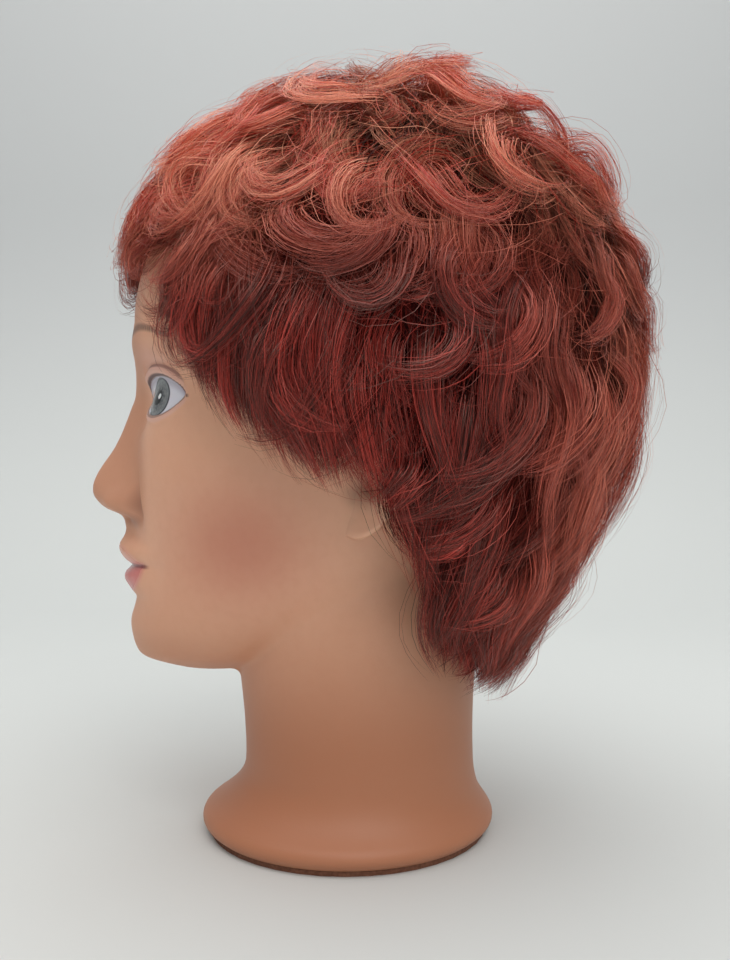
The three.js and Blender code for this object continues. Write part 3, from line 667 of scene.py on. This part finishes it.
def hair_material(name, strands_across, strands_up):
    """Auburn fibre: each lock and each strand its own shade; lighter and more coppery on top and at the back,
    partly tone and partly painted light, and painted shade where it lies deep and towards the roots.
    """
    n = Nodes(name)
    uv = n.node("ShaderNodeUVMap", settings={"uv_map": "OFBake"})
    across, up, _ = n.split(uv)
    v = n.times(up, float(strands_up))
    row = n.math("FLOOR", v)
    column = n.math("FLOOR", n.times(across, float(strands_across)))
    cell = n.node("ShaderNodeCombineXYZ", X=column, Y=row)
    own = n.node("ShaderNodeTexWhiteNoise", "Value", Vector=cell)
    lock = n.node("ShaderNodeTexWhiteNoise", "Value", settings={"noise_dimensions": "1D"}, W=row)
    # Rows run from the deepest lock to the outermost, and each from its root to its tip.
    along = n.math("FRACT", v)
    rank = n.ramp(up, 0.06, 0.85)
    _, y, z, _ = n.place()
    # The top and the back turn coppery and lighter: partly the wig's tone, partly painted light from above
    # and behind.
    high = n.most(n.ramp(z, 195.0, 265.0), n.ramp(y, 40.0, 105.0, 0.0, 0.42))
    bright = n.plus(n.times(own, 0.55), n.times(lock, 0.40))
    dark = n.mix(high, srgb(44, 6, 8), srgb(212, 52, 36))
    light = n.mix(high, srgb(192, 60, 51), srgb(255, 176, 138))
    shade = n.mix(n.ramp(bright, 0.14, 0.86), dark, light)
    # Painted shade: darker towards the roots and in the deeper locks, less so in front and on top.
    deep = n.times(n.ramp(along, 0.40, 0.0), 0.80)
    under = n.times(n.minus(1.0, rank), n.ramp(along, 1.0, 0.5, 0.25, 0.97))
    deep = n.most(deep, under)
    deep = n.times(deep, n.ramp(y, -50.0, -12.0, 0.45, 1.0))
    deep = n.times(deep, n.ramp(z, 262.0, 300.0, 1.0, 0.55))
    shade = n.mix(deep, shade, srgb(28, 4, 7))
    return n.look(
        Base_Color=shade, Roughness=n.ramp(own, 0.0, 1.0, 0.30, 0.48),
        Specular_IOR_Level=n.ramp(deep, 0.0, 0.6, 0.90, 0.03), Specular_Tint=(1.0, 0.62, 0.52),
        Sheen_Weight=0.25, Sheen_Roughness=0.4, Sheen_Tint=(1.0, 0.42, 0.28),
    )


# ---------------------------------------------------------------- hair
# Where the cap and the hair end, seen round the head: [degrees from the face, level].
CAP_EDGE = [
    [0, 219], [30, 216], [50, 206], [66, 191], [82, 190], [92, 176], [100, 140], [108, 116], [125, 97],
    [150, 87], [180, 84],
]
HAIR_END = [
    [0, 208], [18, 212], [25, 212], [30, 207], [35, 200], [44, 187], [56, 163], [66, 150], [73, 142],
    [80, 135], [92, 128], [97, 121], [101, 104], [106, 80], [116, 68], [130, 61], [150, 55], [180, 54],
]
WHORL = np.array([0.0, 42.0, 305.0])
HAIR_NODES = [
    "hair_crown_top", "hair_crown_front", "hair_crown_back", "hair_fringe", "hair_side_left",
    "hair_side_right", "hair_back_upper", "hair_back_lower", "hair_nape",
]
# Points along a lock, and the shares of its length that are tried when it hangs too low.
STEPS = 22
CUTS = np.linspace(1.0, 0.2, 25)
ROOT_DEPTH, MOST_DEPTH = 0.02, 1.02
UNDER_FIBRES, STRAYS = 7000, 1500
# CURTAIN of the big locks hang plain from the cap's edge at the sides.
LOCKS, CURTAIN = 660, 210
THIN = 5  # thin locks in a big one
FIBRES = 27  # fibres in a thin lock
PER_ROW = THIN * FIBRES
POINTS_CURLY, POINTS_STRAIGHT = 15, 10
COAT_WIDTH, FIBRE_WIDTH, STRAY_WIDTH = 0.30, (0.055, 0.105), (0.05, 0.085)  # half widths
# Per region: shortest and longest lock, turn of the curl in degrees, wave in degrees, lift.
STYLE = {
    "hair_fringe": (46, 64, 300, 14, 0.18),
    "hair_crown_front": (60, 84, 390, 14, 0.24),
    "hair_crown_top": (62, 90, 390, 14, 0.22),
    "hair_crown_back": (60, 84, 250, 15, 0.22),
    "hair_side_left": (62, 92, 84, 15, 0.13),
    "hair_side_right": (62, 92, 84, 15, 0.13),
    "hair_back_upper": (62, 86, 72, 15, 0.14),
    "hair_back_lower": (52, 70, 56, 13, 0.13),
    "hair_nape": (36, 56, 70, 14, 0.14),
}
PLAIN_STYLE = (95, 125, 34, 9, 0.06)
# Root places thrown for each one that is kept.
TRIES_EVEN, TRIES_CURTAIN = 14, 24


def capsule(p):
    """Azimuth, level and distance of points, measured from an upright spine with a ball on top."""
    x, y = p[..., 0], p[..., 1] - SPINE_Y
    above = np.maximum(p[..., 2] - SPINE_TOP, 0)
    flat = np.hypot(x, y)
    azimuth = np.degrees(np.arctan2(x, -y)) % 360
    level = np.where(p[..., 2] > SPINE_TOP, SPINE_TOP + np.degrees(np.arctan2(above, flat)), p[..., 2])
    return azimuth, level, np.hypot(flat, above)


def from_capsule(azimuth, level, radius):
    """The point at this azimuth, level and distance."""
    turn = np.radians(azimuth)
    rise = np.radians(np.maximum(level - SPINE_TOP, 0))
    flat = radius * np.cos(rise)
    z = np.minimum(level, SPINE_TOP) + radius * np.sin(rise)
    return np.stack([flat * np.sin(turn), SPINE_Y - flat * np.cos(turn), z], -1)


class HairSpace:
    """The room between the cap and the hair's outline, read from the CAD hair solids."""

    STEP_A, STEP_L, LOW = 4.0, 4.0, 44.0
    FAR = 0.3

    def __init__(self):
        verts, faces, base = [], [], 0
        for name in HAIR_NODES:
            mesh = frame["nodes"][name].data
            verts += [v.co.copy() for v in mesh.vertices]
            faces += [[base + i for i in p.vertices] for p in mesh.polygons]
            base += len(mesh.vertices)
        tree = BVHTree.FromPolygons(verts, faces)
        azimuths = np.arange(0, 360, self.STEP_A)
        levels = np.arange(self.LOW, SPINE_TOP + 90.1, self.STEP_L)
        low = np.full((len(azimuths), len(levels)), np.nan)
        high = low.copy()
        for i, azimuth in enumerate(azimuths):
            for j, level in enumerate(levels):
                start = from_capsule(azimuth, level, 0.0)
                spine = Vector(to_row(start))
                out = Vector((from_capsule(azimuth, level, 1.0) - start).tolist()).normalized()
                hit = tree.ray_cast(spine, out)
                if hit[0] is None:
                    continue
                low[i, j] = hit[3] / MM
                back = tree.ray_cast(spine + out * self.FAR, -out)
                if back[0] is not None:
                    high[i, j] = (self.FAR - back[3]) / MM
        self.low, self.high = self.cleaned(self.fill(low)), self.cleaned(self.fill(high))
        for _ in range(2):
            self.low, self.high = self.soften(self.low), self.soften(self.high)
        # The curls stay inside the outline, most of all above the forehead.
        a, l = np.meshgrid(azimuths, levels, indexing="ij")
        ahead = 1 - smooth(face_angle(a), 45, 100)
        brow = smooth(l, 205, 225) * (1 - smooth(l, 258, 280))
        full = 0.88 - 0.10 * smooth(l, 225, 255) - 0.26 * ahead * brow
        self.high = self.low + (self.high - self.low) * full

    @staticmethod
    def fill(t):
        """Places that no ray reached take the mean of their neighbours."""
        while np.isnan(t).any():
            near = np.stack([
                np.roll(t, 1, 0), np.roll(t, -1, 0), np.pad(t, ((0, 0), (1, 0)), mode="edge")[:, :-1],
                np.pad(t, ((0, 0), (0, 1)), mode="edge")[:, 1:],
            ])
            known = ~np.isnan(near)
            total = np.where(known, near, 0).sum(0) / np.maximum(known.sum(0), 1)
            t = np.where(np.isnan(t) & known.any(0), total, t)
        return t

    @staticmethod
    def cleaned(t):
        """Each place takes the middle value of its neighbourhood, and the pole one value all round."""
        wide = np.pad(t, ((0, 0), (1, 1)), mode="edge")
        last = wide.shape[1] - 1
        around = [np.roll(wide, k, 0)[:, 1 + j: last + j] for k in (-1, 0, 1) for j in (-1, 0, 1)]
        t = np.median(np.stack(around), 0)
        t[:, -2:] = np.median(t[:, -3:])
        return t

    @staticmethod
    def soften(t):
        around = (np.roll(t, 1, 0) + np.roll(t, -1, 0)) / 2
        wide = np.pad(t, ((0, 0), (1, 1)), mode="edge")
        updown = (wide[:, 2:] + wide[:, :-2]) / 2
        return 0.5 * t + 0.25 * around + 0.25 * updown

    def read(self, t, azimuth, level):
        """A table's value between its places."""
        i = (azimuth % 360) / self.STEP_A
        j = np.clip((level - self.LOW) / self.STEP_L, 0, t.shape[1] - 1.001)
        i0, j0 = np.floor(i).astype(int) % t.shape[0], np.floor(j).astype(int)
        i1, j1, fi, fj = (i0 + 1) % t.shape[0], j0 + 1, i - np.floor(i), j - np.floor(j)
        return (t[i0, j0] * (1 - fi) * (1 - fj) + t[i1, j0] * fi * (1 - fj)
                + t[i0, j1] * (1 - fi) * fj + t[i1, j1] * fi * fj)

    def at_depth(self, p, depth):
        """Points moved in or out: depth 0 is on the cap, 1 on the outline."""
        a, l, _ = capsule(p)
        low, high = self.read(self.low, a, l), self.read(self.high, a, l)
        return from_capsule(a, l, low + (high - low) * depth)


def face_angle(azimuth):
    """Degrees away from the face, the same on both sides."""
    turn = azimuth % 360
    return np.minimum(turn, 360 - turn)


def outward(p):
    a, l, _ = capsule(p)
    return unit(from_capsule(a, l, 1.0) - from_capsule(a, l, 0.0))


def flow(p):
    """The way the hair is combed at each point, along the surface."""
    n = outward(p)
    away = unit(p - WHORL)
    low = smooth(-p[..., 2], -285, -205)[..., None]
    ahead = smooth(-p[..., 1], -30, 60)[..., None]
    down, forward = np.array([0, 0, -1.0]), np.array([0, -1.0, 0])
    want = away + low * down * 1.1 + (1 - low) * ahead * forward * 0.5 + low * forward * 0.34
    nape = smooth(-p[..., 2], -200, -125)[..., None] * smooth(p[..., 1], 0, 40)[..., None]
    want = want + nape * forward * 0.75
    want = want - n * np.sum(want * n, -1, keepdims=True)
    return unit(want)


def grow(space, roots, length, depth, curl, wave, phase, heading, lift):
    """Centre lines of locks: each walks over the hair space, turning as it goes."""
    p = space.at_depth(roots, ROOT_DEPTH)
    line = [p]
    for k in range(1, STEPS):
        s = k / (STEPS - 1)
        n = outward(p)
        f = flow(p)
        side = np.cross(n, f)
        bend = max(s - 0.22, 0) / 0.78
        ripple = wave * np.sin(phase + 6.5 * s) * smooth(np.array(s), 0.1, 0.5)
        angle = heading + curl * bend ** 1.2 + ripple
        go = f * np.cos(angle)[:, None] + side * np.sin(angle)[:, None]
        p = p + go * (length / (STEPS - 1))[:, None]
        d = ROOT_DEPTH + (depth - ROOT_DEPTH) * smooth(np.array(s), 0.0, 0.42)
        d = d + lift * np.sin(phase * 1.7 + 5.0 * s) * smooth(np.array(s), 0.15, 0.6)
        p = space.at_depth(p, np.clip(d, ROOT_DEPTH, MOST_DEPTH))
        line.append(p)
    return np.stack(line, 1)


def region(azimuth, level):
    """The CAD hair node that a root at this place belongs to."""
    side = face_angle(azimuth)
    if level > 252:
        return "hair_crown_top"
    if side < 44:
        return "hair_crown_front" if level > 226 else "hair_fringe"
    if side < 112:
        return "hair_side_left" if azimuth < 180 else "hair_side_right"
    if level > 226:
        return "hair_crown_back"
    if level > 160:
        return "hair_back_upper"
    return "hair_back_lower" if level > 112 else "hair_nape"


def regions(roots):
    azimuth, level, _ = capsule(roots)
    return np.array([region(a, l) for a, l in zip(azimuth, level)])


def scatter_roots(space, count):
    """Root places at random over the cap, about even in area."""
    azimuth, level = [], []
    while len(azimuth) < count:
        a = RNG.uniform(0, 360, count)
        l = SPINE_TOP + np.degrees(np.arcsin(RNG.uniform(0, 1, count)))
        lower = RNG.random(count) < 0.46
        l = np.where(lower, RNG.uniform(84, SPINE_TOP, count), l)
        keep = l > table(CAP_EDGE, face_angle(a)) + 2.0
        azimuth.extend(a[keep])
        level.extend(l[keep])
    a, l = np.array(azimuth[:count]), np.array(level[:count])
    return from_capsule(a, l, space.read(space.low, a, l))


def even_roots(space, count):
    """Root places kept well apart: the best of several tries each time."""
    tries = scatter_roots(space, count * TRIES_EVEN)
    chosen = [tries[0]]
    gap = np.linalg.norm(tries - tries[0], axis=1)
    while len(chosen) < count:
        best = int(np.argmax(gap * RNG.uniform(0.75, 1.0, len(gap))))
        chosen.append(tries[best])
        gap = np.minimum(gap, np.linalg.norm(tries - tries[best], axis=1))
    return np.array(chosen)


def cut_to_edge(space, roots, length, slack, *shape):
    """Each lock's length, cut down until it no longer hangs past the hair's lower edge."""
    best = length * CUTS[-1]
    done = np.zeros(len(roots), bool)
    for share in CUTS:
        a, l, _ = capsule(grow(space, roots, length * share, *shape)[:, 4:])
        clear = ~(l < table(HAIR_END, face_angle(a)) + slack[:, None]).any(1)
        best = np.where(clear & ~done, length * share, best)
        done |= clear
    return best


def resample(centre, share, points):
    """Each fibre stops at its own share of the lock's length."""
    at = np.linspace(0, 1, points)[None, :] * share[:, None] * (centre.shape[1] - 1)
    i = np.minimum(np.floor(at).astype(int), centre.shape[1] - 2)
    f = (at - i)[..., None]
    rows = np.arange(len(centre))[:, None]
    return centre[rows, i] * (1 - f) + centre[rows, i + 1] * f


def frames_of(line):
    """Directions along each line: out from the head, and across."""
    t = unit(np.gradient(line, axis=1))
    n = outward(line)
    n = unit(n - t * np.sum(n * t, -1, keepdims=True))
    return n, np.cross(t, n)


def bundle(line, group, across, out, twist, squeeze):
    """Lines that run beside their group's line, in its own frame, closing up towards the tip."""
    n, b = frames_of(line)
    s = np.linspace(0, 1, line.shape[1])[None, :]
    close = np.interp(s[0], [0, 0.3, 0.7, 1], squeeze)[None, :]
    turn = twist[:, None] * s
    u = (across[:, None] * np.cos(turn) - out[:, None] * np.sin(turn)) * close
    v = (across[:, None] * np.sin(turn) * 0.6 + out[:, None] * np.cos(turn)) * close
    return line[group] + b[group] * u[..., None] + n[group] * v[..., None]


def ribbon_mesh(name, node, centre, half_width, normal):
    """One mesh of many flat fibres; the uv layout has one row per lock, one cell per fibre."""
    strands, points, _ = centre.shape
    tangent = unit(np.gradient(centre, axis=1))
    across = unit(np.cross(tangent, normal))
    taper = np.interp(np.linspace(0, 1, points), [0, 0.12, 0.75, 1], [0.75, 1, 0.9, 0.2])
    w = half_width[:, None, None] * taper[None, :, None]
    verts = np.stack([centre - across * w, centre + across * w], 2).reshape(-1, 3)
    first = np.arange(strands)[:, None] * points * 2 + np.arange(points - 1)[None, :] * 2
    faces = np.stack([first, first + 1, first + 3, first + 2], -1).reshape(-1, 4)
    rows = int(math.ceil(strands / PER_ROW))
    cell = np.arange(strands)
    u0, v0 = (cell % PER_ROW) / PER_ROW, (cell // PER_ROW) / rows
    t = np.linspace(0.05, 0.95, points)
    shape = (strands, points - 1)
    lo, hi = np.broadcast_to(t[:-1], shape), np.broadcast_to(t[1:], shape)
    left, right = np.full(shape, 0.12), np.full(shape, 0.88)
    us = np.stack([left, right, right, left], -1)
    vs = np.stack([lo, lo, hi, hi], -1)
    uv = np.stack([u0[:, None, None] + us / PER_ROW, v0[:, None, None] + vs / rows], -1)
    obj = new_mesh(name, verts, faces, uv.reshape(-1, 2))
    obj.data.materials.append(hair_material("auburn fibre " + name, PER_ROW, rows))
    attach(obj, "wig")
    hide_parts(node)


def grow_under_coat(space):
    """Short plain fibres close to the cap that hide it between the locks."""
    roots = scatter_roots(space, UNDER_FIBRES)
    count = len(roots)
    shape = (
        RNG.uniform(0.10, 0.55, count), np.radians(RNG.normal(0, 35, count)),
        np.radians(RNG.uniform(4, 14, count)), RNG.uniform(0, 6.28, count),
        RNG.normal(0, 0.22, count), np.full(count, 0.06),
    )
    # It keeps well back from the edge in front, so that no dark wisps lie on the skin.
    side = face_angle(capsule(roots)[0])
    slack = RNG.uniform(3, 16, count) + 9 * (side < 100) + 12 * (side < 72)
    length = cut_to_edge(space, roots, RNG.uniform(32, 58, count), slack, *shape)
    return roots, grow(space, roots, length, *shape)


def curtain_roots(space, count):
    """Root places low at the sides and behind the ears."""
    tries = scatter_roots(space, count * TRIES_CURTAIN)
    a, l, _ = capsule(tries)
    side = face_angle(a)
    above = l - table(CAP_EDGE, side)
    front = tries[(side > 46) & (side < 98) & (above < 26)]
    behind = tries[(side >= 98) & (side < 150) & (l < 175)]
    return np.concatenate([front[: count * 2 // 3], behind[: count - count * 2 // 3]])


def grow_locks(space):
    """Centre lines of the big locks, with where they are rooted and how far out they lie."""
    roots = np.concatenate([even_roots(space, LOCKS - CURTAIN), curtain_roots(space, CURTAIN)])
    plain = np.arange(LOCKS) >= LOCKS - CURTAIN
    _, level, _ = capsule(roots)
    names = regions(roots)
    style = np.array([STYLE[n] for n in names], float)
    # The sides and the back curl more and are shorter high up, where they meet the crown.
    upper = smooth(level, 192, 222) * (style[:, 2] < 120)
    style[:, 2] += upper * 130
    style[:, :2] -= upper[:, None] * 10
    style[plain] = PLAIN_STYLE
    sign = np.where(RNG.random(LOCKS) < 0.5, -1.0, 1.0)
    # Most plain locks turn back over the ear.
    sign = np.where(plain & (RNG.random(LOCKS) < 0.8), np.sign(roots[:, 0]), sign)
    curl = np.radians(style[:, 2]) * sign * RNG.uniform(0.55, 1.1, LOCKS)
    depth = np.where(plain, RNG.uniform(0.15, 0.75, LOCKS), RNG.uniform(0.35, 1.0, LOCKS))
    # Locks rooted about the whorl lie any way, so that they cross over it.
    whorl = 1 - smooth(np.linalg.norm(roots - WHORL, axis=1), 18, 62)
    swerve = np.where(level > 226, 0.50, 0.15) + 1.6 * whorl
    heading = RNG.normal(0, 1, LOCKS) * swerve - 0.16 * curl * (np.abs(curl) > 1.5)
    heading = heading + 0.14 * plain * np.sign(roots[:, 0])
    shape = (
        depth, curl, np.radians(style[:, 3]) * RNG.uniform(0.4, 1.2, LOCKS),
        RNG.uniform(0, 6.28, LOCKS), heading, style[:, 4] * RNG.uniform(0.5, 1.2, LOCKS),
    )
    slack = np.where(plain, RNG.uniform(-1, 3, LOCKS), RNG.uniform(-1, 5, LOCKS))
    length = cut_to_edge(space, roots, RNG.uniform(style[:, 0], style[:, 1]), slack, *shape)
    return names, depth, grow(space, roots, length, *shape)


def wander(count, speeds, size):
    """Slow waves that carry each line off its course, more and more towards its tip."""
    s = np.linspace(0, 1, STEPS)[None, :, None]
    drift = 0
    for speed in speeds:
        turns = RNG.uniform(0.7, 1.4, (count, 1, 1)) * speed * s + RNG.uniform(0, 6, (count, 1, 1))
        drift = drift + RNG.normal(0, 1, (count, 1, 3)) * np.sin(turns) * (size / speed)
    return drift * s


def grow_strays(space):
    """Single fibres that have come loose and cross over the locks."""
    roots = scatter_roots(space, STRAYS)
    _, level, _ = capsule(roots)
    upper = smooth(level, 180, 235)
    curl = np.radians(RNG.normal(0, 1, STRAYS) * (60 + 190 * upper))
    shape = (
        RNG.uniform(0.70, 1.0, STRAYS), curl, np.radians(RNG.uniform(10, 40, STRAYS)),
        RNG.uniform(0, 6.28, STRAYS), RNG.normal(0, 1, STRAYS) * (0.25 + 0.6 * upper),
        RNG.uniform(0.05, 0.25, STRAYS),
    )
    slack = RNG.uniform(-3, 6, STRAYS)
    length = cut_to_edge(space, roots, RNG.uniform(55, 110, STRAYS), slack, *shape)
    return roots, grow(space, roots, length, *shape)


def split_locks(big):
    """Centre lines of the thin locks that lie side by side in each big one."""
    owner = np.repeat(np.arange(LOCKS), THIN)
    many = len(owner)
    across = np.tile(np.linspace(-1, 1, THIN), LOCKS) * RNG.uniform(2.6, 5.4, LOCKS)[owner]
    thin = bundle(
        big, owner, across + RNG.normal(0, 1.2, many), RNG.normal(0, 1.5, many),
        RNG.normal(0, 0.8, LOCKS)[owner] + RNG.normal(0, 0.35, many), [1.25, 1.1, 0.8, 0.42],
    )
    upper = smooth(capsule(big[:, 0])[1], 170, 225)[owner]
    thin = thin + wander(many, (5.0, 9.0), 7.0) * (0.35 + 0.65 * upper)[:, None, None]
    return resample(thin, RNG.uniform(0.80, 1.0, many), STEPS)


def facing(lines, scatter):
    """The way each fibre's flat side faces: outward, a little at random."""
    return outward(lines) + scatter * unit(RNG.normal(0, 1, (len(lines), 1, 3)))


def fibres_of(thin, mine, points):
    """The fibres of these big locks, each in the bundle of a thin one, some of them loose."""
    lock = np.repeat((mine[:, None] * THIN + np.arange(THIN)[None, :]).ravel(), FIBRES)
    count = len(lock)
    angle, radius = RNG.uniform(0, 6.283, count), np.sqrt(RNG.uniform(0, 1, count))
    loose = np.where(RNG.random(count) < 0.26, RNG.uniform(1.4, 4.4, count), 1.0)
    fibres = bundle(
        thin, lock, radius * np.cos(angle) * 2.7 * loose, radius * np.sin(angle) * 1.7 * loose,
        RNG.normal(0, 0.9, count), [1.0, 1.15, 0.9, 0.45],
    )
    frizz = (0.75 + 1.1 * (loose > 1))[:, None, None]
    fibres = fibres + wander(count, (4.0, 10.0), 3.2) * frizz
    return resample(fibres, RNG.uniform(0.72, 1.0, count), points)


def build_hair():
    """One mesh of fibres in place of each CAD hair solid."""
    space = HairSpace()
    coat_roots, coat = grow_under_coat(space)
    coat_names = regions(coat_roots)
    names, depth, big = grow_locks(space)
    stray_roots, strays = grow_strays(space)
    stray_names = regions(stray_roots)
    strays = strays + wander(STRAYS, (4.0, 9.0), 9.0)
    thin = split_locks(big)
    for node in HAIR_NODES:
        mine = np.flatnonzero(names == node)
        mine = mine[np.argsort(depth[mine])]
        points = POINTS_CURLY if "crown" in node or "fringe" in node else POINTS_STRAIGHT
        fibres = fibres_of(thin, mine, points)
        face = facing(fibres, 0.8)
        width = RNG.uniform(*FIBRE_WIDTH, len(fibres))
        # The under coat comes first, in whole rows of the uv layout, then the locks from deep to shallow.
        under = coat[coat_names == node]
        under = under[: len(under) // PER_ROW * PER_ROW]
        under = resample(under, np.ones(len(under)), points)
        under_face = facing(under, 0.3)
        single = strays[stray_names == node]
        single = resample(single, RNG.uniform(0.6, 1.0, len(single)), points)
        single_face = facing(single, 0.8)
        single_width = RNG.uniform(*STRAY_WIDTH, len(single))
        ribbon_mesh(
            node.replace("hair_", "curls_"), node, np.concatenate([under, fibres, single]),
            np.concatenate([np.full(len(under), COAT_WIDTH), width, single_width]),
            unit(np.concatenate([under_face, face, single_face])),
        )


# ---------------------------------------------------------------- putting it together
def dress_head():
    """The vinyl head: its skin and both ears in one painted mesh."""
    head = build_head()
    parts = [head]
    corner = EAR_UV_CELL
    for side, name in ((1, "ear_left"), (-1, "ear_right")):
        points, faces = build_ear(side)
        uv = np.tile([[0.0, 0.0], [corner, 0.0], [corner, corner], [0.0, corner]], (len(faces), 1))
        parts.append(new_mesh(name, points, faces, uv))
    chosen = {"active_object": head, "selected_editable_objects": parts, "selected_objects": parts}
    with bpy.context.temp_override(**chosen):
        bpy.ops.object.join()
    head.name = "vinyl_head"
    head.data.materials.clear()
    head.data.materials.append(skin_material())
    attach(head, "head")
    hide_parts("head_skin")


# Per slot: name, light shade, dark shade, roughness, scale of the grain, metallic, bump.
PLAIN_LOOKS = {
    "dark_plastic": ("moulded black plastic", srgb(44, 40, 37), srgb(30, 27, 25), 0.45, 220, 0, 0.15),
    "brown_pad": ("brown foam pad", srgb(138, 92, 70), srgb(112, 70, 52), 0.9, 700, 0, 0.5),
    "screw_steel": ("plated steel", srgb(196, 198, 202), srgb(168, 170, 175), 0.32, 400, 1, 0.05),
    "foam": ("filling foam", srgb(236, 226, 200), srgb(222, 208, 176), 0.95, 600, 0, 0.6),
    "cap_net": ("stretch net", srgb(62, 26, 20), srgb(30, 13, 11), 0.85, 900, 0, 0.8),
    "edge_tape": ("skin-coloured tape", srgb(222, 174, 150), srgb(204, 152, 128), 0.8, 1100, 0, 0.6),
}


def paint_cad():
    """Materials for the CAD pieces that show as they are."""
    looks = {slot: plain_material(*row) for slot, row in PLAIN_LOOKS.items()}
    looks["stay_steel"] = looks["screw_steel"]
    slots = {part["node"]: part["material_slot"] for part in frame["record"]["subparts"]}
    for name, obj in frame["nodes"].items():
        look = looks.get(slots.get(name))
        if look:
            obj.data.materials.clear()
            obj.data.materials.append(look)


def paper_material():
    n = Nodes("pale paper")
    z = n.place()[2]
    table_top = n.mix(n.noise(3.0), srgb(219, 222, 220), srgb(216, 219, 217))
    # The paper is painted darker up the wall than on the table: painted shade on one sheet.
    return n.look(Base_Color=n.mix(n.ramp(z, 20.0, 600.0), table_top, srgb(204, 206, 206)), Roughness=0.8)


FLOOR_FRONT, FLOOR_BACK, SWEEP, WALL_TOP, STAGE_HALF = 1400, -550, 600, 2600, 3000


def add_stage():
    """A pale table that sweeps up into the wall behind."""
    profile = [(FLOOR_FRONT, 0.0), (FLOOR_BACK, 0.0)]
    for t in np.linspace(0.1, math.pi / 2, 14):
        profile.append((FLOOR_BACK - SWEEP * math.sin(t), SWEEP - SWEEP * math.cos(t)))
    profile.append((FLOOR_BACK - SWEEP, WALL_TOP))
    points = [(x, y, z) for x, z in profile for y in (-STAGE_HALF, STAGE_HALF)]
    faces = [[2 * i, 2 * i + 1, 2 * i + 3, 2 * i + 2] for i in range(len(profile) - 1)]
    sweep = new_mesh("table_and_wall", np.array(points), faces)
    sweep.data.materials.append(paper_material())


def add_light(name, place, aim, size, power, colour):
    """A soft round lamp."""
    data = bpy.data.lights.new(name, "AREA")
    data.shape = "DISK"
    data.size = size
    data.energy = power
    data.color = colour
    light = bpy.data.objects.new(name, data)
    light.location = place
    light.rotation_euler = (Vector(aim) - Vector(place)).to_track_quat("-Z", "Y").to_euler()
    bpy.context.scene.collection.objects.link(light)


def add_lights():
    """A dim even room, a window behind the camera's shoulder and a wide soft ceiling."""
    world = bpy.data.worlds.new("soft room")
    world.use_nodes = True
    sky = world.node_tree.nodes["Background"]
    sky.inputs["Color"].default_value = (0.93, 0.96, 1.0, 1)
    sky.inputs["Strength"].default_value = 0.31
    bpy.context.scene.world = world
    add_light("window", (1.20, 0.40, 1.30), (0, 0, 0.18), 1.5, 9.5, (1.0, 0.98, 0.95))
    add_light("ceiling", (0.10, -0.05, 1.60), (0, 0, 0.2), 2.4, 23.5, (1.0, 0.99, 0.97))


bpy.context.scene.view_settings.view_transform = "Standard"
dress_head()
paint_cad()
build_hair()
add_stage()
add_lights()
